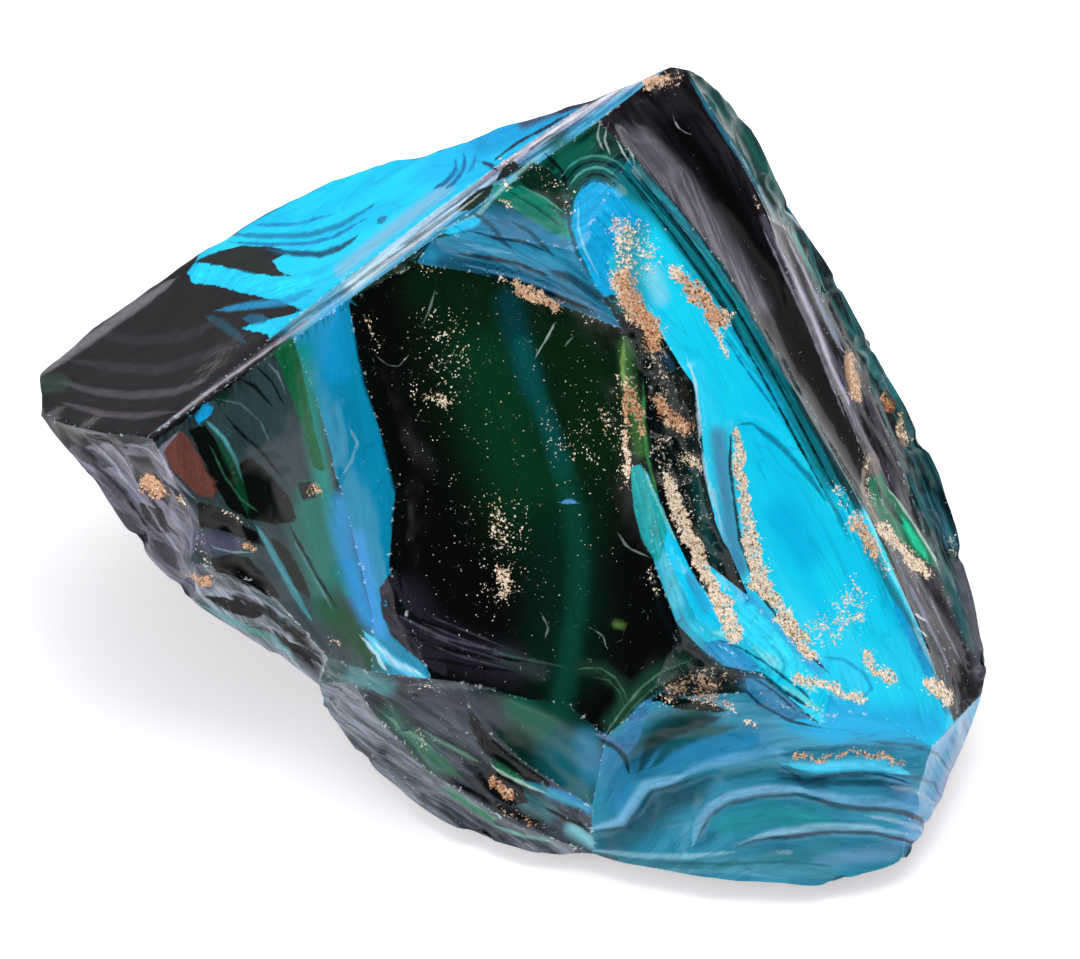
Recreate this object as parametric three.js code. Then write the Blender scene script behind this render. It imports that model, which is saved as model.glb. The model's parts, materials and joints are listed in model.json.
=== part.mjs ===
// A rough lump of turquoise-coloured glass: one broken piece, all shells and hollows, that lies on a flat base.
// Millimetres. x runs to the right, y to the back and z up from the table.
import * as THREE from 'three';

// How long the sides of the small triangles may be on the shown breaks, on the back and underside, and on the base.
const FINE = 2.05;
const MEDIUM = 3.2;
const COARSE = 9;

// How much the turns of the seams between faces are worn round, from 0 to 1, and how far the seams wander.
const WEAR = 0.04;
const WANDER = 0.09;

// The flat cast face on top runs up from the nose, at the left, to the peak, with this rise for each mm.
const NOSE = [-29.5, -1, 24.5];
const RISE_RIGHT = 0.506;
const RISE_BACK = -0.161;
const PEAK = [13, 24.5, 42];

// A point of the cast face, with its height worked out from the slope, less a drop where the edge is worn.
function onTop(x, y, drop = 0) {
  const z = NOSE[2] + RISE_RIGHT * (x - NOSE[0]) + RISE_BACK * (y - NOSE[1]);
  return [x, y, z - drop];
}

// A point on the straight ridge from the nose to the peak, let down a little by the chipping along it.
function onRidge(share) {
  const [x, y, z] = NOSE.map((start, axis) => start + share * (PEAK[axis] - start));
  return [x, y, z - 0.4];
}

// Corners of the broken faces, in lines. Each line runs from left to right or from top to bottom.
const LINES = {
  // the cast face: its far edge, the ridge at its near edge and the bevel above that ridge
  rim: [
    onTop(-41.5, 14.7, 1), onTop(-36.5, 19.7, 1.2), onTop(-27, 24.5, 1), onTop(-21.8, 25.7, 0.5),
    onTop(-15.9, 26.7), onTop(-11.6, 26.7, 0.3), onTop(-6.5, 24.7, 0.3), onTop(-2.2, 25.1), onTop(6.7, 24.5, 0.4),
  ],
  ridge: [NOSE, onRidge(0.27), onRidge(0.375), onRidge(0.54), onRidge(0.71), onRidge(0.86), PEAK],
  bevel: [onTop(-18.4, 8), onTop(-13.9, 11.2), onTop(-6.7, 16), onTop(0.8, 20.7)],
  // the left end, which hangs clear of the table
  end: [[-40.6, 8.2, 16.8], [-35.5, 3, 20.6]],
  keel: [[-39, 6.5, 15], [-35, 2, 14], [-31.9, -2.6, 11.9], [-27, -6.5, 9.5], [-21.5, -8.5, 6.5], [-16.5, -10.5, 3.5]],
  cheek: [[-27.5, -3.5, 21.5], [-25.5, -6, 19.5], [-26.8, -6.5, 15]],
  shelf: [[-23.3, -7.5, 15], [-19.5, -9, 13], [-15.5, -11.5, 8.5], [-11.6, -14.5, 10.5]],
  // the proud band of opaque blue
  bandLeft: [[-16, 1, 27], [-13.7, -5.5, 22], [-11.4, -12.5, 15.5]],
  bandRight: [[-11.7, 1, 27.5], [-9.4, -5.5, 24], [-10, -10.5, 19.5], [-6.6, -17, 13]],
  // the foot of the great dark shell and the breaks under it
  sill: [[-3.8, -17.4, 13], [1.4, -18.5, 12.2], [4.5, -19, 12.4], [7.6, -21, 10.5]],
  slope: [[-3.4, -18.5, 9.6], [1.4, -21.5, 7], [6.5, -24.4, 5.4]],
  crease: [[-13.5, -13, 7], [-11.6, -15.5, 6], [-6.7, -20.5, 4.5], [-0.1, -24.4, 3]],
  foot: [
    [-16.3, -11.5, 1.8], [-14, -15, 1.6], [-12.2, -17.8, 1.4], [-9.5, -20.4, 1.3], [-3.6, -24.6, 1.2], [2.4, -26.6, 1.2],
    [6.7, -26.5, 1.6], [11.6, -28.4, 1.8], [21.2, -29.5, 1.8], [25.8, -29.7, 1.2], [28.7, -28.9, 1.6], [32, -27.3, 2.2],
    [33.5, -25.6, 2.8], [35.5, -22, 4], [37.5, -18, 5], [39.5, -13, 5.5], [39.9, -11, 6.5],
  ],
  // the right side, from its low corner up to the peak
  flank: [
    [39.6, -4.5, 6.5], [38.6, 0, 8], [38.5, 3, 9.5], [36, 7.5, 13], [33.5, 10.6, 16], [31, 14, 19],
    [27.2, 19, 24.2], [24, 21.5, 27.6], [22.6, 23.5, 30], [20.5, 26, 33], [18, 26.7, 37], [15.8, 26.6, 39.4],
  ],
  // the ledge over the great shell
  soffit: [[-8, 11.5, 32], [-3.4, 10.5, 32], [0.1, 9.5, 31.8], [3.4, 8, 31], [9, 6, 30]],
  ledge: [[-2.6, 12, 35.4], [5.1, 9.4, 35.7], [7, 6.9, 33.5]],
  // the right-hand side of the great shell, the prong and the gutter beside it
  jamb: [[9.9, 2, 26], [10.3, -1, 24], [11, -3.5, 22.8]],
  prongFoot: [[11.6, -9, 18], [13.4, -13, 15.2], [16.5, -16, 13.7], [20, -18, 15]],
  prongTop: [[12.7, -10.4, 20], [15.5, -15.5, 17]],
  gutter: [[12.3, -4.5, 22.3], [15.1, -9, 19]],
  swathLeft: [
    [10.5, 6.5, 32.7], [14.6, 1.3, 28.5], [15.6, -3, 25.2], [16.6, -7.5, 21.7], [19.2, -12.5, 18], [22.5, -15.6, 16],
    [25.6, -19, 14.1],
  ],
  pocket: [[12.9, -16, 14], [10.7, -18.9, 12.2], [15.3, -18.4, 12.7], [19.9, -18.6, 13.3]],
  lip: [[25.1, -20.9, 11.9], [26.5, -20.4, 13.3], [30.1, -20.6, 12.7], [34.1, -21.4, 9.6], [36.4, -17.8, 8]],
  // the long dark groove on the right and the two strips outside it
  swathRight: [[9.8, 17.9, 38.4], [12.8, 14.5, 36.6], [17.2, 10.5, 33.1], [22.8, 3.8, 27.2], [28.8, -3.6, 19.7], [33.5, -12, 13.2]],
  groove: [
    [14.3, 25, 41.4], [18.4, 20.9, 36.6], [21.5, 16.7, 32.1], [23.8, 12, 27.5], [26.9, 6.6, 22.5], [29.8, 1.8, 18],
    [32.9, -4.4, 12.4], [36.2, -10.9, 8.9],
  ],
  strip: [[23.2, 18.5, 28.9], [25.6, 15.1, 25.5], [28.8, 11.3, 21.5], [32.2, 6, 16.4], [35.4, -1, 10.3], [38.2, -8.8, 6.6]],
  endEdge: [[33.1, -23.8, 6.9], [32.2, -26, 4.4]],
  // the back, which bulges at its waist, with two ridges that run down it, and the outline of the flat base
  waist: [[-31.5, 19.5, 8], [-19, 27, 5.5], [-3, 31, 16], [16.5, 32, 10.5], [29.5, 21, 16], [37, 4, 4]],
  spur: [[5, 28.5, 28], [9.5, 30.5, 19]],
  scar: [[-11, 28.5, 21], [-13.5, 29.5, 13]],
  base: [
    [-13, -9, 0], [-7, -16, 0], [3, -22, 0], [13, -24, 0], [25, -25, 0], [31, -21.5, 0], [35, -11, 0], [34, 4, 0],
    [27.5, 17, 0], [14, 26, 0], [0, 25.5, 0], [-14, 23, 0], [-23, 12, 0], [-20, -1, 0],
  ],
};

// The broken faces: the corners around each one, seen from outside and counter-clockwise, and how deep it is hollowed.
// 'rim8-0' stands for the corners rim8, rim7 and so on down to rim0.
const FACES = {
  castTop: { ring: 'ridge0 bevel0-3 rim8-0 end0-1', hollow: 0.3 },
  bevel: { ring: 'ridge0-6 rim8 bevel3-0', hollow: 0.1 },
  leftEnd: { ring: 'end0 keel0-3 cheek2-0 ridge0 end1', hollow: 0.9 },
  leftFoot: { ring: 'keel3-5 shelf2-0 cheek2', hollow: 0.9 },
  greenLeft: { ring: 'ridge0 cheek0-2 shelf0-3 bandLeft2-0 ridge1', hollow: 0.7 },
  blueBand: { ring: 'ridge1 bandLeft0-2 shelf3 bandRight3-0 ridge2', hollow: -0.4 },
  notch: { ring: 'keel5 crease0 shelf3 shelf2', hollow: 0.3 },
  lowLeftOuter: { ring: 'keel5 foot0-6 crease3-0', hollow: 0.5 },
  lowLeft: { ring: 'crease0-3 foot6 slope2-0 sill0 bandRight3 shelf3', hollow: 0.6 },
  greenSlope: { ring: 'slope0-2 sill3-0', hollow: 0.5 },
  greatShell: { ring: 'ridge2 bandRight0-3 sill0-3 pocket1 pocket0 prongFoot1 prongFoot0 jamb2-0 soffit4-0', hollow: 2.3 },
  shellCorner: { ring: 'ridge2 soffit0 ridge3', hollow: 0.2 },
  overLedge: { ring: 'soffit0-4 ledge2-0 ridge3', hollow: 0.8 },
  greenTop: { ring: 'ridge3 ledge0-1 swathRight0 ridge5 ridge4', hollow: 0.8 },
  channel: { ring: 'soffit4 jamb0-2 gutter0-1 swathLeft4-0 ledge2', hollow: 1.3 },
  prongCliff: { ring: 'jamb2 prongFoot0-3 prongTop1-0', hollow: 0.3 },
  prong: { ring: 'jamb2 prongTop0-1 prongFoot3 lip0 swathLeft6-4 gutter1-0', hollow: -0.3 },
  underProng: { ring: 'pocket0-3 lip0 prongFoot3-1', hollow: 0.8 },
  swath: { ring: 'ledge1-2 swathLeft0-6 lip1-4 swathRight5-0', hollow: 0.8 },
  lipFace: { ring: 'lip0-1 swathLeft6', hollow: 0 },
  banded: { ring: 'sill3 slope2 foot6-11 endEdge1-0 lip3-0 pocket3-1', hollow: 1.2 },
  darkGroove: { ring: 'ridge5 swathRight0-5 lip4 groove7-0 ridge6', hollow: 1.3 },
  streakStrip: { ring: 'groove2-7 strip5-0', hollow: 0.6 },
  peakSide: { ring: 'groove0-2 strip0 flank7-11', hollow: 0.7 },
  outerStrip: { ring: 'strip0-5 foot16 flank0-7', hollow: 0.7 },
  rightTip: { ring: 'lip4 foot15-16 strip5 groove7', hollow: 0.2 },
  rightEnd: { ring: 'lip4-3 endEdge0-1 foot11-15', hollow: 0.4 },
  backPeak: { ring: 'rim8 ridge6 groove0 flank11-9 waist3 spur1-0', hollow: 2.2, side: MEDIUM },
  backSpur: { ring: 'rim8 spur0-1 waist3-2 rim7', hollow: 1.7, side: MEDIUM },
  backMiddle: { ring: 'rim5-7 waist2-1 scar1-0', hollow: 2.1, side: MEDIUM },
  backScar: { ring: 'rim2-5 scar0-1 waist1', hollow: 1.8, side: MEDIUM },
  backLeft: { ring: 'rim1-2 waist1-0 rim0', hollow: 1.6, side: MEDIUM },
  backRight: { ring: 'flank8-5 waist4-3 flank9', hollow: 1.7, side: MEDIUM },
  rightLow: { ring: 'flank4-1 waist5 base7-8 waist4 flank5', hollow: 2.2, side: MEDIUM },
  rightFoot: { ring: 'flank0 foot16-15 base6-7 waist5 flank1', hollow: 0.8, side: MEDIUM },
  underFront: { ring: 'foot15-0 base0-6', hollow: 0.2, side: MEDIUM },
  underKeel: { ring: 'keel5-3 base13 base0 foot0', hollow: 0.9, side: MEDIUM },
  underLeft: { ring: 'keel2-1 base12-13 keel3', hollow: 1.6, side: MEDIUM },
  underTip: { ring: 'keel0 end0 rim0 waist0 base12 keel1', hollow: 1.7, side: MEDIUM },
  footLeft: { ring: 'waist1 base11-12 waist0', hollow: 1, side: MEDIUM },
  footMiddle: { ring: 'waist2 base10-11 waist1', hollow: 1.8, side: MEDIUM },
  footPeak: { ring: 'waist3 base9-10 waist2', hollow: 1.7, side: MEDIUM },
  footRight: { ring: 'waist4 base8-9 waist3', hollow: 2, side: MEDIUM },
  base: { ring: 'base13-0', hollow: 0, side: COARSE },
};

// Ripples that run out from where a blow fell: their centre, the distance from crest to crest and their height.
const RIPPLES = {
  backPeak: { centre: [13, 25, 42], spacing: 5, height: 0.13 },
  backMiddle: { centre: [-4, 25, 33], spacing: 5.4, height: 0.14 },
  backScar: { centre: [-27, 24, 20], spacing: 5, height: 0.1 },
  rightLow: { centre: [34, 10, 18], spacing: 4.8, height: 0.12 },
  underTip: { centre: [-41, 10, 16], spacing: 4.6, height: 0.1 },
  footRight: { centre: [30, 21, 16], spacing: 4.6, height: 0.11 },
  footMiddle: { centre: [-3, 31, 16], spacing: 4.6, height: 0.11 },
};

// Scooped pits: the face each one is in, its middle, how wide and how deep it is.
const SCOOPS = [
  { face: 'greenLeft', at: [-20.5, -3, 21], width: 8, depth: 1.1 },
  { face: 'greenLeft', at: [-23.5, -6, 18.5], width: 5.5, depth: 0.8 },
  { face: 'lowLeft', at: [-1, -22, 6.5], width: 6, depth: 0.8 },
  { face: 'lowLeftOuter', at: [-10, -18.5, 3.5], width: 6, depth: 0.6 },
  { face: 'underProng', at: [14, -17.5, 13], width: 5, depth: 0.9 },
  { face: 'outerStrip', at: [36, 3, 11.5], width: 7, depth: 0.7 },
  { face: 'leftEnd', at: [-31, -1, 16], width: 7, depth: 0.7 },
  { face: 'channel', at: [12.5, 1, 27], width: 6, depth: 0.8 },
  { face: 'backRight', at: [27, 23, 17], width: 9, depth: 1 },
  { face: 'backMiddle', at: [-7.5, 29, 21], width: 7, depth: 0.7 },
  { face: 'rightLow', at: [36, 8, 6], width: 9, depth: 0.9 },
];

// Pairs of faces that meet in a rounded turn, where most of them meet in a sharp edge.
const ROUNDED = [
  ['blueBand', 'greatShell'], ['greenLeft', 'blueBand'], ['darkGroove', 'swath'], ['greenTop', 'swath'],
  ['swath', 'prong'], ['greatShell', 'greenSlope'], ['lowLeft', 'lowLeftOuter'], ['castTop', 'bevel'],
  ['banded', 'greenSlope'], ['streakStrip', 'outerStrip'], ['underLeft', 'underTip'], ['footLeft', 'footMiddle'],
  ['backLeft', 'footLeft'], ['backMiddle', 'backScar'], ['backPeak', 'backSpur'],
];

const corners = [];
const cornerNumber = {};
for (const [line, places] of Object.entries(LINES)) {
  places.forEach((place, step) => {
    cornerNumber[line + step] = corners.length;
    corners.push(new THREE.Vector3(...place));
  });
}

// The corner numbers that a ring of names stands for.
function readRing(text) {
  return text.split(' ').flatMap((item) => {
    const [, line, from, to] = item.match(/^([a-zA-Z]+)(\d+)(?:-(\d+))?$/);
    const first = Number(from);
    const last = Number(to ?? from);
    const steps = Math.abs(last - first) + 1;
    return Array.from({ length: steps }, (_, step) => cornerNumber[line + (first + step * Math.sign(last - first))]);
  });
}

// The mean direction that a ring of points faces.
function ringNormal(points) {
  const sum = new THREE.Vector3();
  points.forEach((point, i) => sum.add(new THREE.Vector3().crossVectors(point, points[(i + 1) % points.length])));
  return sum.normalize();
}

// Cuts a ring of corners into triangles, in the plane that it lies nearest to.
function cutRing(ring) {
  const points = ring.map((number) => corners[number]);
  const normal = ringNormal(points);
  const across = new THREE.Vector3(1, 0.3, 0.2).cross(normal).normalize();
  const along = new THREE.Vector3().crossVectors(normal, across);
  const flat = points.map((point) => new THREE.Vector2(point.dot(across), point.dot(along)));
  return THREE.ShapeUtils.triangulateShape(flat, []).map((triangle) => triangle.map((i) => ring[i]));
}

const faceNames = Object.keys(FACES);
const mesh = { points: corners.map((corner) => corner.clone()), triangles: [] };
faceNames.forEach((name, face) => {
  for (const at of cutRing(readRing(FACES[name].ring))) {
    mesh.triangles.push({ face, at });
  }
});

// Every side of the triangles, with its two ends, in the order of its first triangle, and the triangles on it.
function sidesOf({ triangles }) {
  const sides = new Map();
  triangles.forEach(({ at }, number) => {
    at.forEach((a, i) => {
      const b = at[(i + 1) % 3];
      const key = a < b ? `${a},${b}` : `${b},${a}`;
      if (!sides.has(key)) sides.set(key, { a, b, on: [] });
      sides.get(key).on.push(number);
    });
  });
  return sides;
}

// Halves sides that are too long, the longest first, until none is left.
function splitLongSides({ points, triangles }, growth) {
  const reach = faceNames.map((name) => (FACES[name].side ?? FINE) * growth);
  for (;;) {
    const long = [];
    for (const { a, b, on } of sidesOf({ triangles }).values()) {
      const length = points[a].distanceTo(points[b]);
      if (length > Math.min(...on.map((number) => reach[triangles[number].face]))) long.push({ a, b, on, length });
    }
    if (long.length === 0) return;
    long.sort((p, q) => q.length - p.length);
    const changed = new Set();
    for (const { a, b, on } of long) {
      if (on.some((number) => changed.has(number))) continue;
      const middle = points.push(points[a].clone().lerp(points[b], 0.5)) - 1;
      for (const number of on) {
        const { face, at } = triangles[number];
        changed.add(number);
        triangles[number] = { face, at: at.map((end) => (end === b ? middle : end)) };
        triangles.push({ face, at: at.map((end) => (end === a ? middle : end)) });
      }
    }
  }
}

function triangleNormal(a, b, c) {
  return new THREE.Vector3().subVectors(b, a).cross(new THREE.Vector3().subVectors(c, a));
}

function cornerAngle(tip, a, b) {
  return new THREE.Vector3().subVectors(a, tip).angleTo(new THREE.Vector3().subVectors(b, tip));
}

// Turns the shared side of two triangles of one face, where that makes both of them less thin.
function turnSides({ points, triangles }) {
  const sides = sidesOf({ triangles });
  const changed = new Set();
  for (const { a, b, on } of sides.values()) {
    const [first, second] = on;
    if (triangles[first].face !== triangles[second].face || changed.has(first) || changed.has(second)) continue;
    const c = triangles[first].at.find((end) => end !== a && end !== b);
    const d = triangles[second].at.find((end) => end !== a && end !== b);
    if (sides.has(c < d ? `${c},${d}` : `${d},${c}`)) continue;
    const [pa, pb, pc, pd] = [a, b, c, d].map((end) => points[end]);
    if (cornerAngle(pc, pa, pb) + cornerAngle(pd, pa, pb) < Math.PI + 0.01) continue;
    const before = triangleNormal(pa, pb, pc).add(triangleNormal(pb, pa, pd));
    if (triangleNormal(pa, pd, pc).dot(before) <= 0 || triangleNormal(pd, pb, pc).dot(before) <= 0) continue;
    const { face } = triangles[first];
    triangles[first] = { face, at: [a, d, c] };
    triangles[second] = { face, at: [d, b, c] };
    changed.add(first).add(second);
    sides.set(c < d ? `${c},${d}` : `${d},${c}`, { a: c, b: d, on: [first, second] });
  }
  return changed.size;
}

// For each point, its neighbours, its neighbours along the seams between faces, and the faces around it.
function surroundings({ points, triangles }) {
  const around = points.map(() => ({ near: [], seam: [], faces: new Set() }));
  for (const { a, b, on } of sidesOf({ triangles }).values()) {
    around[a].near.push(b);
    around[b].near.push(a);
    on.forEach((number) => {
      around[a].faces.add(triangles[number].face);
      around[b].faces.add(triangles[number].face);
    });
    if (triangles[on[0]].face !== triangles[on[1]].face) {
      around[a].seam.push(b);
      around[b].seam.push(a);
    }
  }
  return around;
}

function mean(points, numbers) {
  const sum = new THREE.Vector3();
  numbers.forEach((number) => sum.add(points[number]));
  return sum.divideScalar(numbers.length);
}

// Spreads the points inside each face evenly, as a stretched skin, and rounds the turns of the seams a little.
function settle({ points, triangles }, rounds, wear) {
  const around = surroundings({ points, triangles });
  for (let round = 0; round < rounds; round += 1) {
    around.forEach(({ near, seam }, number) => {
      if (seam.length === 0) points[number].copy(mean(points, near));
      if (seam.length === 2) points[number].lerp(mean(points, seam), wear);
    });
  }
}

for (const growth of [3, 1.7, 1]) {
  splitLongSides(mesh, growth);
  for (let turn = 0; turn < 8 && turnSides(mesh) > 0; turn += 1);
  settle(mesh, 12, WEAR);
  for (let turn = 0; turn < 4 && turnSides(mesh) > 0; turn += 1);
}

const around = surroundings(mesh);
const inside = (number) => around[number].seam.length === 0;

// Lets the seams wander, so that no edge is ruled, and draws the faces after them. The base stays flat.
mesh.points.forEach((point, number) => {
  if (inside(number)) return;
  const { x, y, z } = point;
  const free = z < 0.01 ? 0 : WANDER;
  point.x += WANDER * (Math.sin(0.9 * y + 0.7 * z) + 0.5 * Math.sin(2.3 * z - 1.9 * y));
  point.y += WANDER * (Math.sin(0.8 * x + 1.1 * z + 2) + 0.5 * Math.sin(2.1 * x - 1.7 * z));
  point.z += free * (Math.sin(1.1 * x - 0.6 * y + 4) + 0.5 * Math.sin(1.9 * y + 2.3 * x));
});
settle(mesh, 60, 0);

const faceOf = (number) => faceNames[[...around[number].faces][0]];

const normals = faceNames.map((name) => ringNormal(readRing(FACES[name].ring).map((number) => corners[number])));

// The depth of each point inside its face, from 0 at the seams to 1 at the deepest, as a sheet sags under its weight.
function sag() {
  const depth = mesh.points.map(() => 0);
  for (let round = 0; round < 500; round += 1) {
    depth.forEach((_, number) => {
      if (!inside(number)) return;
      const { near } = around[number];
      depth[number] = near.reduce((sum, next) => sum + depth[next], 0) / near.length + 1;
    });
  }
  const deepest = faceNames.map(() => 1);
  depth.forEach((value, number) => {
    around[number].faces.forEach((face) => { deepest[face] = Math.max(deepest[face], value); });
  });
  return depth.map((value, number) => (inside(number) ? value / deepest[[...around[number].faces][0]] : 0));
}

// Hollows the faces, with their ripples and scoops.
const depths = sag();
const start = mesh.points.map((point) => point.clone());
mesh.points.forEach((point, number) => {
  if (!inside(number)) return;
  const name = faceOf(number);
  const normal = normals[faceNames.indexOf(name)];
  const fade = Math.min(1, depths[number] * 2.5);
  let lift = -FACES[name].hollow * depths[number];
  if (RIPPLES[name]) {
    const { centre, spacing, height } = RIPPLES[name];
    lift += height * fade * Math.sin((2 * Math.PI * start[number].distanceTo(new THREE.Vector3(...centre))) / spacing);
  }
  for (const { face, at, width, depth } of SCOOPS) {
    const reach = start[number].distanceTo(new THREE.Vector3(...at)) / (width / 2);
    if (face === name && reach < 1) lift -= depth * fade * (1 - reach ** 2) ** 2;
  }
  point.addScaledVector(normal, lift);
});

// Rounds the seams between the faces that meet in a rounded turn.
const rounded = ROUNDED.map((pair) => pair.map((name) => faceNames.indexOf(name)));
for (let round = 0; round < 3; round += 1) {
  around.forEach(({ near, faces }, number) => {
    const soft = faces.size === 2 && rounded.some((pair) => pair.every((face) => faces.has(face)));
    const level = faces.has(faceNames.indexOf('base'));
    if (soft && !level) mesh.points[number].lerp(mean(mesh.points, near), 0.45);
  });
}

const geometry = new THREE.BufferGeometry();
geometry.setAttribute('position', new THREE.Float32BufferAttribute(mesh.points.flatMap((point) => point.toArray()), 3));
geometry.setIndex(mesh.triangles.flatMap(({ at }) => at));
geometry.computeBoundingBox();
const middle = geometry.boundingBox.getCenter(new THREE.Vector3());
geometry.translate(-middle.x, -middle.y, 0);
geometry.computeVertexNormals();

const glass = new THREE.MeshStandardMaterial({ color: 0x12a5d8, roughness: 0.15, metalness: 0 });
glass.name = 'turquoise_glass';

const stone = new THREE.Mesh(geometry, glass);
stone.name = 'stone';

const lump = new THREE.Group();
lump.add(stone);

export default lump;
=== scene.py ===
# The looks of a rough lump of turquoise-coloured glass: its broken skin, the streams of colour in it and
# its metal grains.
import json
import math

import bpy
import numpy as np
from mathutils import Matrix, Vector, noise

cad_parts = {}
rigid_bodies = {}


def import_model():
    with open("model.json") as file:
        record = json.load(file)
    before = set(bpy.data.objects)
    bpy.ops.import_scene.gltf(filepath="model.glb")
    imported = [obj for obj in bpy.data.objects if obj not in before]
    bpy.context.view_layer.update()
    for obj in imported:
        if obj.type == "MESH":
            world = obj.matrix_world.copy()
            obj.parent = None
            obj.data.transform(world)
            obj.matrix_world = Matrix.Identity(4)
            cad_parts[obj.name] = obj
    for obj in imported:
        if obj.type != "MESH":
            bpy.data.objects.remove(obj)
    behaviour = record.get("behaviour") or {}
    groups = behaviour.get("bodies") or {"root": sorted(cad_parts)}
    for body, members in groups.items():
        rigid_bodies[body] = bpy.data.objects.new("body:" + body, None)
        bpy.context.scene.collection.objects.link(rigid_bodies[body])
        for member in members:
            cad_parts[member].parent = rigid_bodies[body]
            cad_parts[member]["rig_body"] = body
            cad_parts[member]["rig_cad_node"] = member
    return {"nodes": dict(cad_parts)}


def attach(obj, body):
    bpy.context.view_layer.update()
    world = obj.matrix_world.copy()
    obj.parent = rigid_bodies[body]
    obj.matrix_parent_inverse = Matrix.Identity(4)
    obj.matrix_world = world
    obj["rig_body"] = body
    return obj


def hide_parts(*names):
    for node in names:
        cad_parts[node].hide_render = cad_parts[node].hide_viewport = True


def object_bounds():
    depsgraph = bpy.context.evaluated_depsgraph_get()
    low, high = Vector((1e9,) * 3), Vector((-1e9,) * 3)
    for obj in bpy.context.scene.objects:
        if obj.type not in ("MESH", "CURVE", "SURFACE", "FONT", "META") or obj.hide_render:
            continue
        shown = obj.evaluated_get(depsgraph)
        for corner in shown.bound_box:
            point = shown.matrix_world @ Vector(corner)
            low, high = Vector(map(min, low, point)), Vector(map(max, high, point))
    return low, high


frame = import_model()
cad_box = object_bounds()

MM = 0.001

# Marks are laid out on a drawing plane that faces the front at this angle above the table: x to the right
# and y up, in mm, from a middle point inside the lump. They go back to the skin on straight lines from an
# eye at this distance from the middle point.
MIDDLE = np.array([3.06, -4.17, 21.47])
HEIGHT_ANGLE = math.radians(50)
TOWARDS = np.array([0, -math.cos(HEIGHT_ANGLE), math.sin(HEIGHT_ANGLE)])
UPWARDS = np.array([0, math.sin(HEIGHT_ANGLE), math.cos(HEIGHT_ANGLE)])
DISTANCE = 250

# How far the lump stands from the corner lines below, so that it lies in the middle of the table.
CENTRING = np.array([0.8, -1.2, 0])

# The flat cast face on top: the two ends of the ridge in front of it, how steeply it climbs to the right
# and to the back, and how far the ridge between its ends is worn down in mm.
NOSE = np.array([-29.5, -1, 24.5])
PEAK = np.array([13, 24.5, 42])
CLIMB_RIGHT = 0.506
CLIMB_BACK = -0.161
WORN = np.array([0, 0, 0.4])


def on_top(x, y, drop=0):
    return (x, y, NOSE[2] + CLIMB_RIGHT * (x - NOSE[0]) + CLIMB_BACK * (y - NOSE[1]) - drop)


def on_ridge(share):
    return tuple(NOSE + share * (PEAK - NOSE) - WORN)


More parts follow.
